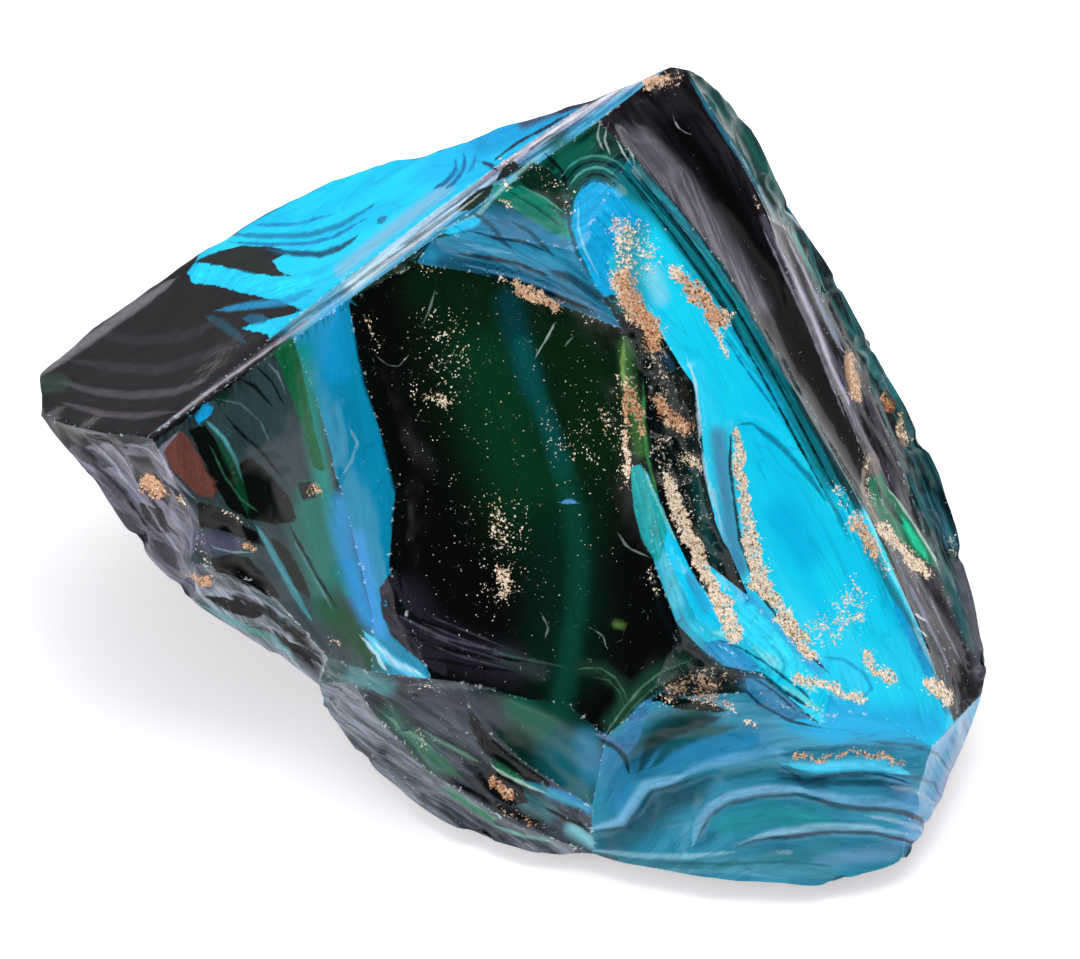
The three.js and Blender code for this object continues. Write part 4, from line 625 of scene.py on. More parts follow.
# Fine lines, which thin out to nothing at both ends.
THREADS = [
    ("#0E86BC", 0.3, [(-25.5, 19.5), (-22, 19.3), (-19, 19.4), (-17, 19.9), (-14.4, 21.4)]),
    ("#1094CC", 0.3, [(-23.4, 20.9), (-20, 21), (-17, 21.8)]),
    ("#0A6EA4", 0.4, [(-6.9, 26.2), (-7, 25.3), (-7.6, 24.6), (-8.8, 23.8)]),
    ("#0A6EA4", 0.3, [(-6.2, 26.6), (-6.3, 25.4), (-6.9, 24.6), (-7.8, 23.9)]),
    ("#0A6EA4C0", 0.25, [(-5.3, 26.8), (-5.4, 25.9), (-6, 25.1)]),
    ("#1C2030", 0.25, [(-4, 26), (-2, 27.6), (0.6, 29), (3, 30.4)]),
    ("#2C3048", 0.2, [(-1, 27), (2, 29.2), (5, 31.2)]),
    # painted highlights: the next three thin bright lines along the ridge
    ("#E4E8F080", 0.18, [(-15.6, 15.5), (-8.9, 20.4), (-4.6, 23.7)]),
    ("#D8D4E070", 0.15, [(-31.9, 3.8), (-26, 8.1), (-20.4, 12), (-15.6, 15.4)]),
    ("#ECEAF4C0", 0.22, [(-2.4, 26.4), (1, 28.6), (5, 31.2), (8, 33)]),
    ("#2C3A4890", 0.2, [(-20, 12.6), (-14, 17), (-8, 21.5)]),
    ("#2C2C3890", 0.2, [(-30, 5.4), (-26, 8.6), (-22, 11.4)]),
    ("#7CBCD090", 0.2, [(-15.6, 4.2), (-15, 3), (-15.4, 1.6), (-16.2, 0.4)]),
    ("#B0C0BCC0", 0.14, [(4.9, 29.2), (4.7, 28.2), (5.1, 27.2)]),
    ("#B0C0BCC0", 0.12, [(5.5, 29), (5.3, 27.9), (5.8, 26.6)]),
    ("#C8D4D0D0", 0.14, [(6.4, 27.8), (6.8, 26.9), (7.4, 26)]),
    ("#C8D4D0D0", 0.12, [(7.2, 27.4), (7.6, 26.6), (7.8, 25.8)]),
    ("#B8C0C0C0", 0.14, [(11, 29.6), (11.4, 28.9), (12.1, 28.4)]),
    ("#90A49AA0", 0.12, [(-8.6, 15.6), (-9, 14.2), (-9.6, 12.8)]),
    ("#B8C8C0D0", 0.14, [(1.2, 12.8), (0.5, 11.5), (-0.3, 10.2)]),
    ("#90A498A0", 0.1, [(2.9, 11.9), (2.2, 11.2)]),
    ("#88988EA0", 0.1, [(-13.3, 10), (-12.5, 9.4), (-11.6, 9.3), (-11, 10)]),
    ("#90A49AA0", 0.12, [(6.4, -4.4), (7.2, -5.6), (8.8, -6.3)]),
    ("#A8B8B0A0", 0.1, [(4.4, -12.3), (5.2, -12.9), (5.4, -13.6)]),
    ("#9AA89A80", 0.1, [(0.2, -11.2), (0.7, -12.2), (0.4, -13)]),
    ("#5898D8", 0.32, [(1.8, -1.9), (2.4, -1.8), (3, -1.9)]),
    ("#4C7C64B0", 0.14, [(3.6, -15.5), (5, -15.5), (6.2, -16.3), (7, -17.6), (7.2, -18.4)]),
    ("#3C6C5490", 0.12, [(4.4, -16.2), (5.6, -16.5), (6.5, -17.4), (6.9, -18.6)]),
    ("#5C8C74B0", 0.16, [(5.6, -20.6), (6.8, -18.9), (8.4, -17), (10, -15.8), (12, -15)]),
    ("#4C7C6490", 0.14, [(6.2, -20.8), (7.4, -19), (9.2, -17.2), (11, -16.1)]),
    # dark shell lines across the foot of the great shell, and two pale lines of the painted reflection there
    ("#0A0D10", 0.5, [(-12.4, -10), (-10, -11.6), (-6.4, -12.8), (-2.6, -13.4)]),
    ("#0A0D10", 0.4, [(-11.4, -12.4), (-8.6, -13.8), (-5, -14.4), (-1, -15)]),
    ("#0A0D10", 0.3, [(-9.6, -14.6), (-6, -15.3), (-2, -15.8)]),
    ("#5C5A6EA0", 0.2, [(-11.6, -11.2), (-8, -13), (-4, -14)]),
    ("#46606090", 0.2, [(-4, -14.2), (-1, -14.8), (2, -15.4)]),
    ("#0A7C9080", 0.2, [(14.5, 13), (17, 9.5), (19, 7.5)]),
    ("#0A96C8", 0.25, [(14.2, 14.4), (16.6, 11.2), (19.6, 6.6), (22, 2.6)]),
    ("#0A86B4", 0.2, [(15.2, 11.6), (17.4, 8.4), (19.4, 5.6)]),
    # painted glints: two tiny white marks on the swath
    ("#E0F4F4C0", 0.14, [(30.8, -11), (31.6, -11.6)]),
    ("#E0F4F4C0", 0.14, [(31, -12.2), (31.8, -12.9)]),
    # painted sheen: pale lilac streaks on the dark groove, between black lines
    ("#A4A2B6", 0.3, [(19.2, 20), (21, 16.4), (22.8, 12.4), (24, 9.2), (25.4, 6)]),
    ("#8E8CA0", 0.25, [(20.2, 20.2), (22.2, 16), (24, 12), (24.8, 10.4)]),
    ("#050507", 0.3, [(19.8, 20.4), (21.7, 16.4), (23.5, 12.2), (24.5, 9.6)]),
    ("#8E8CA0C0", 0.2, [(18.4, 20.4), (20.2, 16.6), (22, 12.8), (23.6, 8.8), (25, 5.2)]),
    ("#050507", 0.35, [(21.2, 20), (23.2, 16), (25, 12.4), (27, 8)]),
    ("#6C7C8CC0", 0.5, [(22.4, 15.6), (23.8, 12.8), (24.6, 10.8)]),
    ("#86849690", 0.2, [(25.6, 5.8), (27.4, 2.2), (28.6, -0.4)]),
    ("#050507", 0.3, [(26.4, 6.4), (28.4, 2.4), (30, -1)]),
    ("#7C7A8C", 0.25, [(30.4, -8.6), (31.8, -11.6), (33.6, -15.4)]),
    ("#7C7A8CC0", 0.2, [(32, -9.4), (33, -11.8), (34.6, -15)]),
    # painted glint: a tiny pale mark below the emerald glints
    ("#BCE4E8A0", 0.14, [(20.2, 22.4), (21, 21.2), (21.8, 20.4)]),
    # streaks of the crown
    ("#031E1AD0", 0.3, [(5.6, 26.6), (7.2, 24.8), (9.2, 22.6)]),
    ("#2C8C84A0", 0.18, [(5.2, 25.2), (6.6, 24.2), (8.4, 22.4)]),
    ("#04403CC0", 0.25, [(-2.4, 23.6), (-0.4, 22.4), (1.8, 20.8)]),
    ("#3CB49CA0", 0.18, [(-1.6, 24.1), (0.4, 23.1), (2, 21.9)]),
    ("#021410", 0.3, [(0.4, 26.8), (1.8, 25.4), (2.2, 23.8)]),
    # shell lines in the pools at the left
    ("#2E6E4CB0", 0.16, [(-27, 2.6), (-26, 0.4), (-24.6, -1.6), (-23, -2.8)]),
    ("#0A1414", 0.26, [(-25.8, 5.2), (-24.4, 3.6), (-22.8, 2.2), (-21.4, 0.4)]),
    ("#5C7C80A0", 0.14, [(-26.4, 6.6), (-24.6, 6.2), (-23, 4.8), (-22.2, 3)]),
    ("#0A1414", 0.3, [(-24.8, 8.4), (-23.4, 7.6), (-22, 6)]),
    ("#0A1414", 0.22, [(-23.2, 9.2), (-22, 8), (-21.2, 6.4)]),
    ("#7C98A0A0", 0.14, [(-22.4, 9.6), (-21.6, 8.8), (-21, 7.4)]),
    ("#0A1414", 0.25, [(-20.6, -3.8), (-19.4, -6), (-18, -8.6), (-16.8, -10.4)]),
    ("#4E8C8CA0", 0.2, [(-20, -5.4), (-18.6, -8), (-17, -10.8)]),
    ("#8CB4B8A0", 0.14, [(-26.8, -5.6), (-25.2, -6), (-23.8, -6)]),
    ("#A4A8BC80", 0.14, [(-26.6, -9.2), (-24.6, -9.6), (-22.4, -10.4), (-20.4, -11.6)]),
    ("#A4A8BC80", 0.14, [(-24, -12), (-21.8, -12.4), (-19.6, -13.6), (-18, -14.8)]),
    ("#B4B4C870", 0.16, [(-37.4, 3), (-35, 1), (-33, -1.4), (-31, -4.2), (-29.6, -6.6)]),
    ("#B4B4C860", 0.14, [(-34.6, 3.2), (-32.6, 2.6), (-31.2, 1.4)]),
    ("#0A0A10", 0.25, [(-39.8, 4.4), (-37, 1.8), (-34.4, -1.2), (-32, -4)]),
    ("#0A0A10", 0.2, [(-36, 3.4), (-34, 1.6), (-32.4, -0.8), (-30.8, -3.6), (-29.6, -5.4)]),
]

# Ripples in the crown, one inside the other.
for reach, colour in [
    (1.5, "#0A5C70"), (2.0, "#021C18"), (2.5, "#4CA094"), (2.95, "#021C18"), (3.4, "#3C8C80"),
]:
    THREADS.append((colour, 0.18, [
        (4.6 + reach * math.cos(turn), 22.9 + 1.1 * reach * math.sin(turn))
        for turn in np.linspace(0.7, 2.6, 7)
    ]))

# Fine lines side by side where the swath meets the groove.
for step, colour in enumerate(("#032826", "#128490", "#02201F", "#0E7480", "#032826")):
    THREADS.append((colour, 0.2, [
        (x + 0.4 * step, y + 0.2 * step)
        for x, y in [(7.4, 24.4), (11.3, 19.6), (15, 14.2), (18.2, 8.6), (21.4, 2.6), (24.2, -2.6)]
    ]))

# Shell lines across the foot of the great shell, in the pale lilac of its painted reflection.
for rise in (0, 0.55, 1.1, 1.65):
    THREADS.append(("#58566880", 0.12, [
        (-10.4 + rise, -13 + rise), (-7 + rise, -14.4 + rise), (-2.4, -15.6 + rise),
    ]))

# Where the glass is drawn out into fine lines side by side: strength, width in mm and line.
LINED = [
    (1.0, 3.6, [(7, 26), (10.4, 22.6), (13.4, 18.8), (16.4, 14.4), (19.6, 9.4), (22.4, 4.4), (26, -3)]),
    (0.5, 2.6, [(26, -3), (30, -10), (33.6, -18)]),
    (0.7, 3.0, [(12, 24), (17, 16), (21, 9)]),
    (0.8, 2.0, [(-32, 2.6), (-20.3, 12), (-8.8, 20.8), (4, 30.6), (9, 33.6)]),
    (0.45, 6.0, [(-40, 4), (-34, -2), (-28, -8), (-20, -14)]),
    (0.45, 7.0, [(-19, -17), (-10, -23), (-3, -28.6)]),
    (1.0, 4.6, [(16, 28), (22, 18), (27, 7), (33, -6)]),
    (0.5, 3.0, [(29, -9), (34, -16)]),
    (0.6, 3.0, [(-6, 18.6), (0, 17.4), (5, 15)]),
    (0.3, 3.0, [(12, -12.6), (20, -16.6)]),
]

# Where the metallic grains lie: how many for each square mm, the width in mm and the line.
GRAINS = [
    (12, 2.4, [(6.6, 20.6), (7.2, 19), (7, 17.6)]),
    (9, 3.4, [(8, 20), (8.6, 18.4), (7.6, 16.8)]),
    (18, 2.2, [(6.6, 16.6), (7.2, 15), (8, 13.6)]),
    (18, 1.8, [(8, 13.8), (9.2, 12.6), (9.4, 10.8)]),
    (8, 1.6, [(8.8, 10.6), (9.8, 8.6), (10.2, 7.6)]),
    (11, 0.8, [(8.6, 19.6), (9.2, 19)]),
    (19, 1.2, [(11, 17.2), (12, 16.4)]),
    (20, 1.6, [(12.4, 15.8), (13.6, 14.3), (14.8, 13.2)]),
    (15, 0.7, [(14, 13.2), (14.8, 11.6), (15.3, 10)]),
    (15, 1.6, [(9.8, 6.6), (10.4, 5.2), (12, 4.2)]),
    (13, 1.3, [(12.2, 1.7), (13.2, 1.1)]),
    (14, 1.1, [(7.2, 7.4), (8, 5.6), (8.4, 3.8)]),
    (9, 1.2, [(10, 3), (10.2, 0.8), (10.8, -1.6)]),
    (20, 1.2, [(10.5, 0.2), (11.3, -2.6), (12.4, -5.2), (13.6, -7.6), (14.8, -9.8)]),
    (6, 2.6, [(10.6, 1), (12, -3)]),
    (20, 1.6, [(14.8, -9.8), (15.3, -11.2), (15.9, -12.6)]),
    (20, 0.9, [(16.3, 3.9), (16.3, 1.6), (16.7, -1), (17.1, -3.4), (17.3, -5)]),
    (19, 1.6, [(17.4, -5), (17.8, -6.8), (18.3, -8.6)]),
    (17, 1.1, [(17.6, -8.6), (18.6, -9.2), (19.6, -10.2)]),
    (17, 1.5, [(19.9, -11.2), (21.2, -12.6), (22.4, -14.4)]),
    (9, 3.0, [(22.8, -12.6), (24.6, -11.8), (25.8, -10)]),
    (10, 1.2, [(25.8, -8.4), (26.3, -11.6)]),
    (15, 1.3, [(26.8, -14.2), (27.6, -15.6), (28.8, -16.4)]),
    (20, 1.5, [(32.3, -16.8), (33.3, -18)]),
    (15, 1.1, [(21, -16.2), (23, -16.6), (24.6, -17.6), (26.5, -18.1)]),
    (8, 1.6, [(22, -18.4), (23.4, -19.4)]),
    (9, 1.4, [(24.4, -0.6), (25.4, -2.4), (26, -3.4)]),
    (16, 1.6, [(26, -3.6), (26.8, -4.8), (27.4, -6)]),
    (9, 1.2, [(27.6, -6.4), (28.6, -7.6)]),
    (20, 1.1, [(-1.8, 15.6), (0, 15), (1.4, 14.3)]),
    (12, 0.6, [(-3.4, 16.6), (-2, 16.2)]),
    (6, 0.9, [(3.6, 13.4), (5, 13.2)]),
    (10, 0.8, [(-14.2, 13.4), (-13.8, 12.2), (-13.4, 11)]),
    (5, 4.6, [(-8.2, 12.4), (-7.8, 9.4)]),
    (12, 1.4, [(-9, 6.8), (-8, 6.4)]),
    (4, 3.2, [(-10.4, 7.2), (-7.6, 7)]),
    (10, 2.2, [(-3.4, -3.2), (-3.2, -5)]),
    (14, 1.6, [(-3, -7.6), (-2.8, -9)]),
    (5.5, 4.6, [(-3.2, -2.6), (-2.6, -8.6)]),
    (4, 5, [(2, 4), (5.6, 2)]),
    (10, 1.1, [(5, 5.4), (5.8, 4.3)]),
    (7, 1.4, [(6.6, 8), (6.8, 4), (7, -0.5)]),
    (15, 0.7, [(7.1, 8), (7.1, 4), (7.2, 0.4)]),
    (0.8, 14, [(-6, 8), (-4, -8)]),
    (0.9, 8, [(4, 8), (4, -4)]),
    (10, 0.9, [(9, -7.6), (9.6, -9.4)]),
    (5, 0.7, [(-6.4, -2), (-6.2, -2.4)]),
    (17, 1.2, [(9, 32.7), (10.4, 32.9)]),
    (10, 1.6, [(10, 32.4), (11, 33)]),
    (6, 2, [(-1.4, 25.6), (0.4, 24.8), (2, 22.8)]),
    (12, 0.6, [(-3.2, 26.4), (-2.6, 26.1)]),
    (12, 0.6, [(-2.9, 24.5), (-2.4, 24.1)]),
    (12, 0.6, [(-3.1, 22.8), (-2.6, 22.4)]),
    (9, 1.0, [(-9.9, 17.6), (-9.1, 17)]),
    (20, 1.5, [(-32.2, 0), (-31.4, -1)]),
    (14, 0.7, [(-29.9, -1.6), (-29.5, -2)]),
    (7, 1, [(-28, -5), (-27.2, -6.8)]),
    (18, 1.1, [(-28.4, -8.1), (-27.4, -8.5)]),
    (10, 0.5, [(-25.9, -2.4), (-24.8, -3.2), (-24.2, -3.8)]),
    (16, 0.9, [(-24.2, -5.4), (-23.6, -5.7)]),
    (14, 0.8, [(-18.6, -0.4), (-18.4, -1.2)]),
    (12, 0.7, [(-16.8, -13.2), (-16.4, -13.5)]),
    (11, 1.8, [(10.6, -17.6), (12, -16.6), (14, -17)]),
    (11, 1.4, [(13, -18), (15.8, -18.6)]),
    (7, 1.2, [(12.4, -15.8), (16, -16.2)]),
    (14, 0.6, [(20.6, -22.6), (23, -22.8), (26, -22.4), (29.8, -23.1)]),
    (12, 0.6, [(17, -19.8), (18, -20.6)]),
    (16, 1.0, [(-4, -24.7), (-2.6, -25.8)]),
    (10, 0.9, [(-3.2, -27.2), (0.2, -28.6)]),
    (7, 0.8, [(-10.3, -20.6), (-10, -22.4)]),
    (5, 1, [(-10.4, -17), (-8.6, -17)]),
    (14, 1.2, [(25.3, 10.2), (25.6, 8.6), (25.9, 6.8)]),
    (12, 0.8, [(28.2, 6.8), (28.7, 6)]),
    (14, 0.6, [(29.6, 5.2), (29.5, 3.8), (30.2, 3), (30.8, 3.4)]),
    (16, 1.3, [(28.2, -4), (29.8, -5.8), (31.6, -7.6)]),
    (8, 0.8, [(26.8, 2), (26.8, 0), (27.4, -2)]),
    (9, 0.7, [(33.8, -5), (34.4, -6.4)]),
    (10, 0.6, [(17.4, 22.9), (17.6, 22.5)]),
]

# Clusters of grains on the sides turned away: how many for each square mm, how far they reach and the
# middle, in mm.
HIDDEN_GRAINS = [
    (14, 5, (8, 26, 18)),
    (10, 7, (-14, 24, 10)),
    (12, 4, (30, 14, 12)),
    (9, 6, (20, 24, 22)),
    (12, 4, (-32, 2, 6)),
]

# Where the metal is coppery: how much, width in mm and line.
COPPERY = [
    (1.0, 2.6, [(7.4, 16), (8.6, 13.4), (9.6, 11)]),
    (0.9, 2.4, [(12.4, 16), (14.4, 13.2)]),
    (1.0, 2.4, [(10, 6), (12, 4.4)]),
    (1.0, 2.0, [(7.4, 7), (8, 4)]),
    (0.8, 2.4, [(11, -17), (15.6, -17.4)]),
    (0.7, 2.0, [(-2, 15.6), (1.4, 14.3)]),
    (0.9, 2.4, [(-32.2, 0.4), (-31, -1.4)]),
    (0.8, 2.0, [(-28.6, -8), (-27, -8.6)]),
    (0.9, 1.6, [(-24.2, -5.4), (-23.6, -5.7)]),
    (0.9, 2.0, [(-4, -24.7), (-2, -27), (0.4, -28.6)]),
    (0.7, 1.8, [(20.6, -22.6), (29.8, -22.8)]),
    (1.0, 2.0, [(28.2, 6.8), (28.8, 5.8)]),
    (0.6, 2.0, [(25.2, 10.4), (26, 6.6)]),
    (0.6, 2.0, [(26.4, -4), (27.6, -6.4)]),
    (0.6, 2.4, [(9, 33), (11, 33)]),
    (0.8, 1.6, [(-18.6, -0.4), (-18.4, -1.2)]),
]

# Low relief on the skin: lift in mm (a groove is below 0), width in mm and line.
RELIEFS = [
    (0.3, 0.9, [(12.6, 9), (13, 5), (13.7, 1), (14.5, -2), (15.2, -5)]),
    (-0.3, 0.9, [(16.2, 4.4), (16, 1), (16.5, -2), (17, -5), (18, -8), (19.6, -11), (22, -14)]),
    (0.18, 0.9, [(16.6, 4.9), (18, 4.7), (20, 3), (22.4, 0), (24, -3)]),
    (0.3, 0.8, [(-16.2, 6), (-15.7, 4), (-15.6, 2), (-16.6, 1.2), (-17, -1)]),
    (-0.35, 0.8, [(-6, -19.5), (-4.5, -21.5), (-3.5, -22.5), (-1.6, -24), (0, -25)]),
    (-0.3, 0.8, [(-5, -24), (-4, -25), (-2, -26.5)]),
    (0.35, 1.4, [(20.4, -23.1), (23, -23.3), (26, -23), (30.4, -23.9)]),
    (-0.45, 1.1, [(20.2, -24.3), (23, -24.7), (26.5, -24.5), (30.4, -25.3)]),
    (0.45, 1.7, [
        (4.4, -28.4), (6.6, -28), (7.7, -26.2), (8.7, -24.9), (11, -24.3), (13.4, -23.2), (17, -22.4),
    ]),
    (-0.4, 1.3, [(5, -29.2), (8.6, -27.6), (9.6, -25.8), (12, -25.2), (14, -24.4)]),
    (0.4, 1.6, [(12.6, -30), (12.9, -28.2), (14, -26.7), (15.8, -25.7), (18.6, -25.2), (22, -25.3)]),
    (-0.4, 1.3, [(13.8, -29), (14.8, -27.2), (17.6, -26.3), (21.4, -26.2), (25, -27)]),
    (0.35, 1.3, [(22, -25.6), (25, -26.3), (28, -26.4), (31, -27)]),
    (0.35, 1.3, [(16.4, -29.8), (19, -28.9), (23, -28.3), (27, -28.4), (30.4, -29)]),
    (-0.4, 1.2, [(16.4, -30.6), (20, -30), (24, -29.6), (27.6, -29.7), (30.6, -30.3)]),
    (0.16, 0.8, [(29, -26), (31, -26.5), (31.8, -27.6)]),
    (0.16, 0.8, [(29, -27.8), (31, -28.4), (31.5, -29.4)]),
    (-0.14, 1.2, [(2.5, 25), (2.7, 23), (2.6, 20.4)]),
    (0.25, 1, [(-25.6, -2.6), (-24.6, -3.6), (-24, -5)]),
    (-0.4, 2, [(-24.6, -7.4), (-22.8, -8.6)]),
    (0.2, 1, [(29, -1.6), (30.6, -4.4), (32, -6.6)]),
    (0.18, 1.4, [(25, 10.4), (25.8, 6.6)]),
]

# Nicks around the rim of the lump, where small chips have gone: along them, each one's depth and width in mm.
for nick, (x, y) in enumerate([
    (20.6, 22.4), (24.6, 16.2), (27.2, 11.2), (31.4, 3.2), (34.8, -6.2), (36.6, -14.8), (-33.6, -5.2),
    (-29.8, -9.2), (-21.4, -14.6), (-17.8, -18.4), (-14.8, -23), (-5.6, -29.4), (24.4, -33.2), (30.8, -31),
]):
    size = 0.5 + 0.14 * (nick % 4)
    RELIEFS.append((-0.5 * size, size + 0.3, [(x - size, y - 0.3), (x + size, y + 0.3)]))

# Ripples around where a blow fell: the middle, how far they reach, crest to crest and height, all in mm.
RIPPLES = [
    ((-7, 27), 6, 1.6, 0.03),
    ((8.5, 30), 6, 1.1, 0.05),
    ((10, -26.5), 8, 1.5, 0.05),
    ((31.4, -24), 6, 1.2, 0.06),
    ((-13, -15), 6, 1.1, 0.06),
]

# How deep small shell-shaped chips cut into some faces, and how wide they are, in mm.
CHIPPED = {
    "leftEnd": (0.45, 1.9), "leftFoot": (0.45, 1.7), "notch": (0.35, 1.5), "lowLeftOuter": (0.5, 2.2),
    "lowLeft": (0.4, 2), "channel": (0.4, 1.3), "prongCliff": (0.3, 1.3), "prong": (0.2, 1.5),
    "underProng": (0.35, 1.3), "shellCorner": (0.25, 1.2), "outerStrip": (0.3, 1.5), "rightTip": (0.25, 1.5),
    "rightEnd": (0.2, 1.8), "greenLeft": (0.06, 3), "greenTop": (0.1, 1.6), "peakSide": (0.25, 1.5),
}

# How high the long waves along the streams stand, and how far apart they are, in mm.
FLUTED = {
    "darkGroove": (0.05, 2.2), "streakStrip": (0.1, 1.9), "outerStrip": (0.08, 2.3), "banded": (0.07, 2.1),
    "peakSide": (0.1, 1.7), "swath": (0.03, 2.6), "castTop": (0.012, 3), "greatShell": (0.03, 4.5),
    "overLedge": (0.06, 2.2), "blueBand": (0.05, 2.6), "greenSlope": (0.05, 2.4), "lowLeft": (0.05, 1.7),
    "greenTop": (0.03, 1.6),
}

# Edges of the broken glass that turn more than this stay crisp, and how crisp, where 1 is a knife edge.
CRISP_TURN = math.radians(24)
CRISPNESS = 0.96

# The drawing fades out on faces that turn away from the front by about this much, as the sine of the angle.
TURNED_AWAY = 0.1
TURN_FADE = 0.06

# How far a face's colours mix into its neighbour's, how near its edge the streaks fade and how near it the
# relief does, in mm.
MIXED_REACH = 0.6
STREAK_FADE = 0.45
RELIEF_FADE = 0.9

# How far the streaks of one face are shifted against those of the next, in mm, so that they don't run on.
STREAK_SHIFT = 3.7

# How much darker and paler than itself a wash leaves the two colours that it tints.
WASH_SHADES = (0.85, 1.15)

# Chips are drawn out along the streams, and each bowl is tilted by about this much against the next.
CHIP_SHAPE = (0.45, 1, 1)
CHIP_TILT = 0.8

# How uneven the skin is all over, what is left of that on its two calmest faces, and how uneven it is on the
# sides turned away, in mm.
UNEVEN = 0.05
CALM_SHARE = 0.3
UNEVEN_BEHIND = 0.16

# Relief goes this deep and this high at most, and stays off the flat base below this height, in mm.
DEEPEST = -0.9
HIGHEST = 0.45
BASE_HEIGHT = 0.4

# What a mark's distance starts from where none is near, and how near its edge a later mark takes over, in mm.
OUT_OF_REACH = 9.0
TAKES_OVER = 0.05

# Marks nearer each other than this lie in different layers, in mm.
CLEARANCE = 0.9

# How far grains stray from the lines that they lie along, in mm.
ASTRAY = 0.42

# The skin is crusted all over with metal where this many grains lie on each square mm.
FULL_CRUST = 16

# Half the width of the smallest and the largest grains in mm.
GRAIN_SIZES = (0.03, 0.1)

# How far the table top lies below the lump's base, in mm, so that the two don't share a plane.
TABLE_DROP = 0.02


def linear(colour):
    """The linear red, green and blue of an sRGB hex colour."""
    parts = [int(colour[i:i + 2], 16) / 255 for i in (1, 3, 5)]
    return np.array([p / 12.92 if p <= 0.04045 else ((p + 0.055) / 1.055) ** 2.4 for p in parts])


def opacity(colour):
    """How opaque a colour is: its fourth pair of hex digits, or 1 where it has none."""
    return int(colour[7:9], 16) / 255 if len(colour) > 7 else 1.0


def onto_plane(places):
    """Where places in mm fall on the drawing plane."""
    offset = np.asarray(places, float) - MIDDLE
    scale = DISTANCE / (DISTANCE - offset @ TOWARDS)
    return np.stack([offset[:, 0] * scale, (offset @ UPWARDS) * scale], axis=1)


def ring_corners(text):
    """The corners on the drawing plane that a ring of names stands for, such as 'rim8-0 end0-1'."""
    ring = []
    for item in text.split():
        line = item.rstrip("0123456789-")
        first, *last = item[len(line):].split("-")
        last = int(last[0]) if last else int(first)
        step = 1 if last >= int(first) else -1
        ring += [CORNERS[line][number] for number in range(int(first), last + step, step)]
    return onto_plane(np.array(ring) + CENTRING)


def beside_line(points, line):
    """How far each point lies from a line and on which side (above 0 to its right), and how far along it."""
    line = np.asarray(line, float)
    best = np.full(len(points), np.inf)
    side = np.ones(len(points))
    along = np.zeros(len(points))
    run = 0
    for start, end in zip(line[:-1], line[1:]):
        step = end - start
        length = math.hypot(*step)
        offset = points - start
        share = np.clip(offset @ step / length ** 2, 0, 1)
        gap = offset - share[:, None] * step
        far = np.hypot(gap[:, 0], gap[:, 1])
        near = far < best
        best[near] = far[near]
        side[near] = np.where(step[1] * offset[:, 0] - step[0] * offset[:, 1] > 0, 1, -1)[near]
        along[near] = (run + share * length)[near]
        run += length
    return best, side, along, run


def outside_ring(points, ring):
    """How far each point lies outside a closed outline; below 0 inside it."""
    closed = np.vstack([ring, ring[:1]])
    far = beside_line(points, closed)[0]
    inside = np.zeros(len(points), bool)
    for (x0, y0), (x1, y1) in zip(closed[:-1], closed[1:]):
        crosses = (y0 > points[:, 1]) != (y1 > points[:, 1])
        reach = (x1 - x0) * (points[:, 1] - y0) / (y1 - y0 if y1 != y0 else 1) + x0
        inside ^= crosses & (points[:, 0] < reach)
    return np.where(inside, -far, far)


def bump_shape(share):
    """A smooth rise that is 1 at share 0 and 0 from share 1 on."""
    inner = np.clip(1 - share, 0, 1)
    return inner * inner * (3 - 2 * inner)


def fine_skin(node):
    """The stone's own shape with its loose triangles joined, cut fine and smooth between its sharp edges."""
    bpy.ops.object.select_all(action="DESELECT")
    piece = node.copy()
    piece.data = node.data.copy()
    piece.name = "glass_skin"
    piece.parent = None
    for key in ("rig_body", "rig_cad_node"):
        del piece[key]
    bpy.context.scene.collection.objects.link(piece)
    bpy.context.view_layer.objects.active = piece
    piece.select_set(True)
    bpy.ops.object.mode_set(mode="EDIT")
    bpy.ops.mesh.select_mode(type="EDGE")
    bpy.ops.mesh.select_all(action="SELECT")
    bpy.ops.mesh.remove_doubles(threshold=0.002 * MM)
    bpy.ops.mesh.select_all(action="DESELECT")
    bpy.ops.mesh.edges_select_sharp(sharpness=CRISP_TURN)
    bpy.ops.mesh.mark_sharp()
    bpy.ops.transform.edge_crease(value=CRISPNESS)
    bpy.ops.mesh.select_all(action="SELECT")
    bpy.ops.mesh.tris_convert_to_quads(
        face_threshold=math.radians(20), shape_threshold=math.radians(60), sharp=True
    )
    bpy.ops.object.mode_set(mode="OBJECT")
    finer = piece.modifiers.new("finer", "SUBSURF")
    finer.levels = 2
    finer.render_levels = 2
    bpy.ops.object.modifier_apply(modifier=finer.name)
    return piece


def read_triples(items, field):
    values = np.zeros(len(items) * 3, np.float32)
    items.foreach_get(field, values)
    return values.reshape(-1, 3).astype(float)


def smooth_noise(places, size, layers=1, seed=0):
    """Smooth noise of about -1 to 1 at places in mm, with lumps of a size in mm."""
    shift = Vector((seed * 7.3, seed * 3.1, seed * 5.7))
    return np.array([
        noise.fractal(Vector(place) / size + shift, 0.9, 2.0, layers, noise_basis="PERLIN_ORIGINAL")
        for place in places
    ])


def shell_chips(places, tilt):
    """Shallow bowls side by side, each tilted its own way, with sharp ridges between; about 0 to 1 high."""
    heights = np.zeros(len(places))
    level = Vector((0.5, 0.5, 0.5))
    for number, place in enumerate(places):
        spot = Vector(place)
        middles = noise.voronoi(spot)[1]
        steps = [(spot - middle, noise.cell_vector(middle * 7.7) - level) for middle in middles]
        heights[number] = min(step.length_squared + 2 * tilt * step.dot(lean) for step, lean in steps)
    return heights


